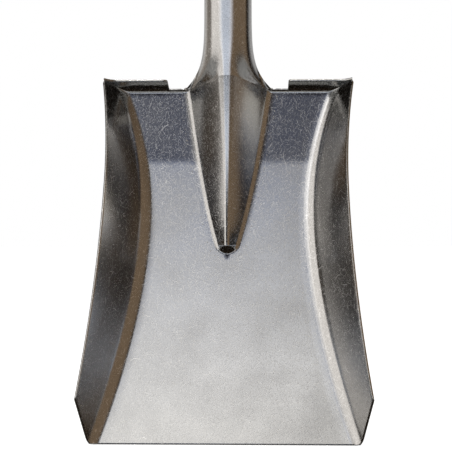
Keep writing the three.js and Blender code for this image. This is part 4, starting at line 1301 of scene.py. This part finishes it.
def floor_paint(scene):
    """Pale matt studio floor, lifted to white for the camera but keeping the shovel's shadow."""
    material, tree, shader, _ = new_material("studio_floor")
    shader.inputs["Base Color"].default_value = (*scene.shovel_studio.floor, 1)
    shader.inputs["Roughness"].default_value = 0.9
    path = add(tree, "ShaderNodeLightPath")
    lift = {"Value": path.outputs["Is Camera Ray"], 3: 0.0, 4: scene.shovel_studio.floor_lift}
    lift = add(tree, "ShaderNodeMapRange", lift)
    shader.inputs["Emission Color"].default_value = (1, 1, 1, 1)
    tree.links.new(lift.outputs[0], shader.inputs["Emission Strength"])
    return material


def dark_cloth(scene):
    """Dark cloth on the floor: it only gives the steel something dark to mirror."""
    material, tree, _, _ = new_material("dark_cloth")
    shade = add(tree, "ShaderNodeEmission", {"Color": (*scene.shovel_studio.cloth, 1), "Strength": 1.0})
    tree.links.new(shade.outputs[0], tree.nodes["Material Output"].inputs["Surface"])
    return material


def rectangle(wide, back, front, height):
    """Corners of a level rectangle, this far to each side, from its front to its back edge."""
    return [(x, y, height) for x, y in ((-wide, front), (wide, front), (wide, back), (-wide, back))]


def plain_object(name, points, faces, material):
    """A stage object of these faces, which is no part of the shovel."""
    mesh = bpy.data.meshes.new(name)
    mesh.from_pydata([tuple(p) for p in points], [], faces)
    mesh.materials.append(material)
    thing = bpy.data.objects.new(name, mesh)
    bpy.context.scene.collection.objects.link(thing)
    return thing


class SetStudio(bpy.types.Operator):
    """Set the camera, the pale floor, the dark cloth and the lamps"""

    bl_idname = "shovel.set_studio"
    bl_label = "Studio"

    def execute(self, context):
        scene = context.scene
        studio = scene.shovel_studio
        scene.view_settings.view_transform = "Standard"
        background(scene)
        reach, wide = studio.floor_reach, studio.cloth_reach
        plain_object("studio_floor", rectangle(reach, reach, -reach, 0), [[0, 1, 2, 3]], floor_paint(scene))

        cloths = rectangle(studio.cloth_near, 0, -studio.cloth_near, MM)
        cloths += rectangle(wide, -studio.cloth_gap, -wide, MM)
        cloth = plain_object("dark_cloth", cloths, [[0, 1, 2, 3], [4, 5, 6, 7]], dark_cloth(scene))
        cloth.visible_camera = cloth.visible_diffuse = cloth.visible_shadow = False
        cloth.visible_transmission = False

        # Place, target, width and height of each lamp, in metres.
        softbox = lamp("left_softbox", (-1.25, -0.98, 0.75), (0, 0.05, 0.35), 0.9, 1.4, studio.side_power)
        softbox.visible_glossy = False
        lamp("overhead_strip", (0, 0.1, 2.7), (0, 0.08, 0.3), 1.4, 0.06, studio.top_power)

        camera = bpy.data.objects.new("photo_camera", bpy.data.cameras.new("photo_camera"))
        scene.collection.objects.link(camera)
        swing = studio.swing
        right, back = studio.distance * math.sin(swing), studio.distance * math.cos(swing)
        camera.location = (right, -back, studio.height)
        camera.rotation_euler = (math.pi / 2, 0, swing - studio.aim)
        camera.data.lens, camera.data.sensor_width = studio.lens, 36  # millimetres
        scene.camera = camera
        return {"FINISHED"}


class ShovelPanel(bpy.types.Panel):
    """Lists the pieces of the shovel in the 3D view's sidebar"""

    bl_idname = "VIEW3D_PT_shovel"
    bl_label = "Square Mouth Shovel"
    bl_space_type = "VIEW_3D"
    bl_region_type = "UI"
    bl_category = "Shovel"

    def draw(self, context):
        for maker in MAKERS:
            self.layout.operator(maker.bl_idname)
        for group in GROUPS:
            settings = getattr(context.scene, group)
            box = self.layout.box()
            for name in settings.__annotations__:
                box.prop(settings, name)


GROUPS = {
    "shovel_pan": PanSizes,
    "shovel_tread": TreadSizes,
    "shovel_frog": FrogSizes,
    "shovel_socket": SocketSizes,
    "shovel_shaft": ShaftSizes,
    "shovel_rivet": RivetSizes,
    "shovel_steel": SteelFinish,
    "shovel_wood": WoodFinish,
    "shovel_studio": StudioSettings,
}
MAKERS = (
    ShapeBlade, ShapeSocket, ShapePlate, LayWelds, ShapeShaft, ShapeCrossbar, SetRivets, SetStudio,
)


def register():
    for kind in (*GROUPS.values(), *MAKERS, ShovelPanel):
        bpy.utils.register_class(kind)
    for name, kind in GROUPS.items():
        setattr(bpy.types.Scene, name, PointerProperty(type=kind))


def unregister():
    for name in GROUPS:
        delattr(bpy.types.Scene, name)
    for kind in reversed((*GROUPS.values(), *MAKERS, ShovelPanel)):
        bpy.utils.unregister_class(kind)


def main():
    """Makes every piece and the studio."""
    register()
    for maker in MAKERS:
        family, name = maker.bl_idname.split(".")
        getattr(getattr(bpy.ops, family), name)()


if __name__ == "__main__":
    main()
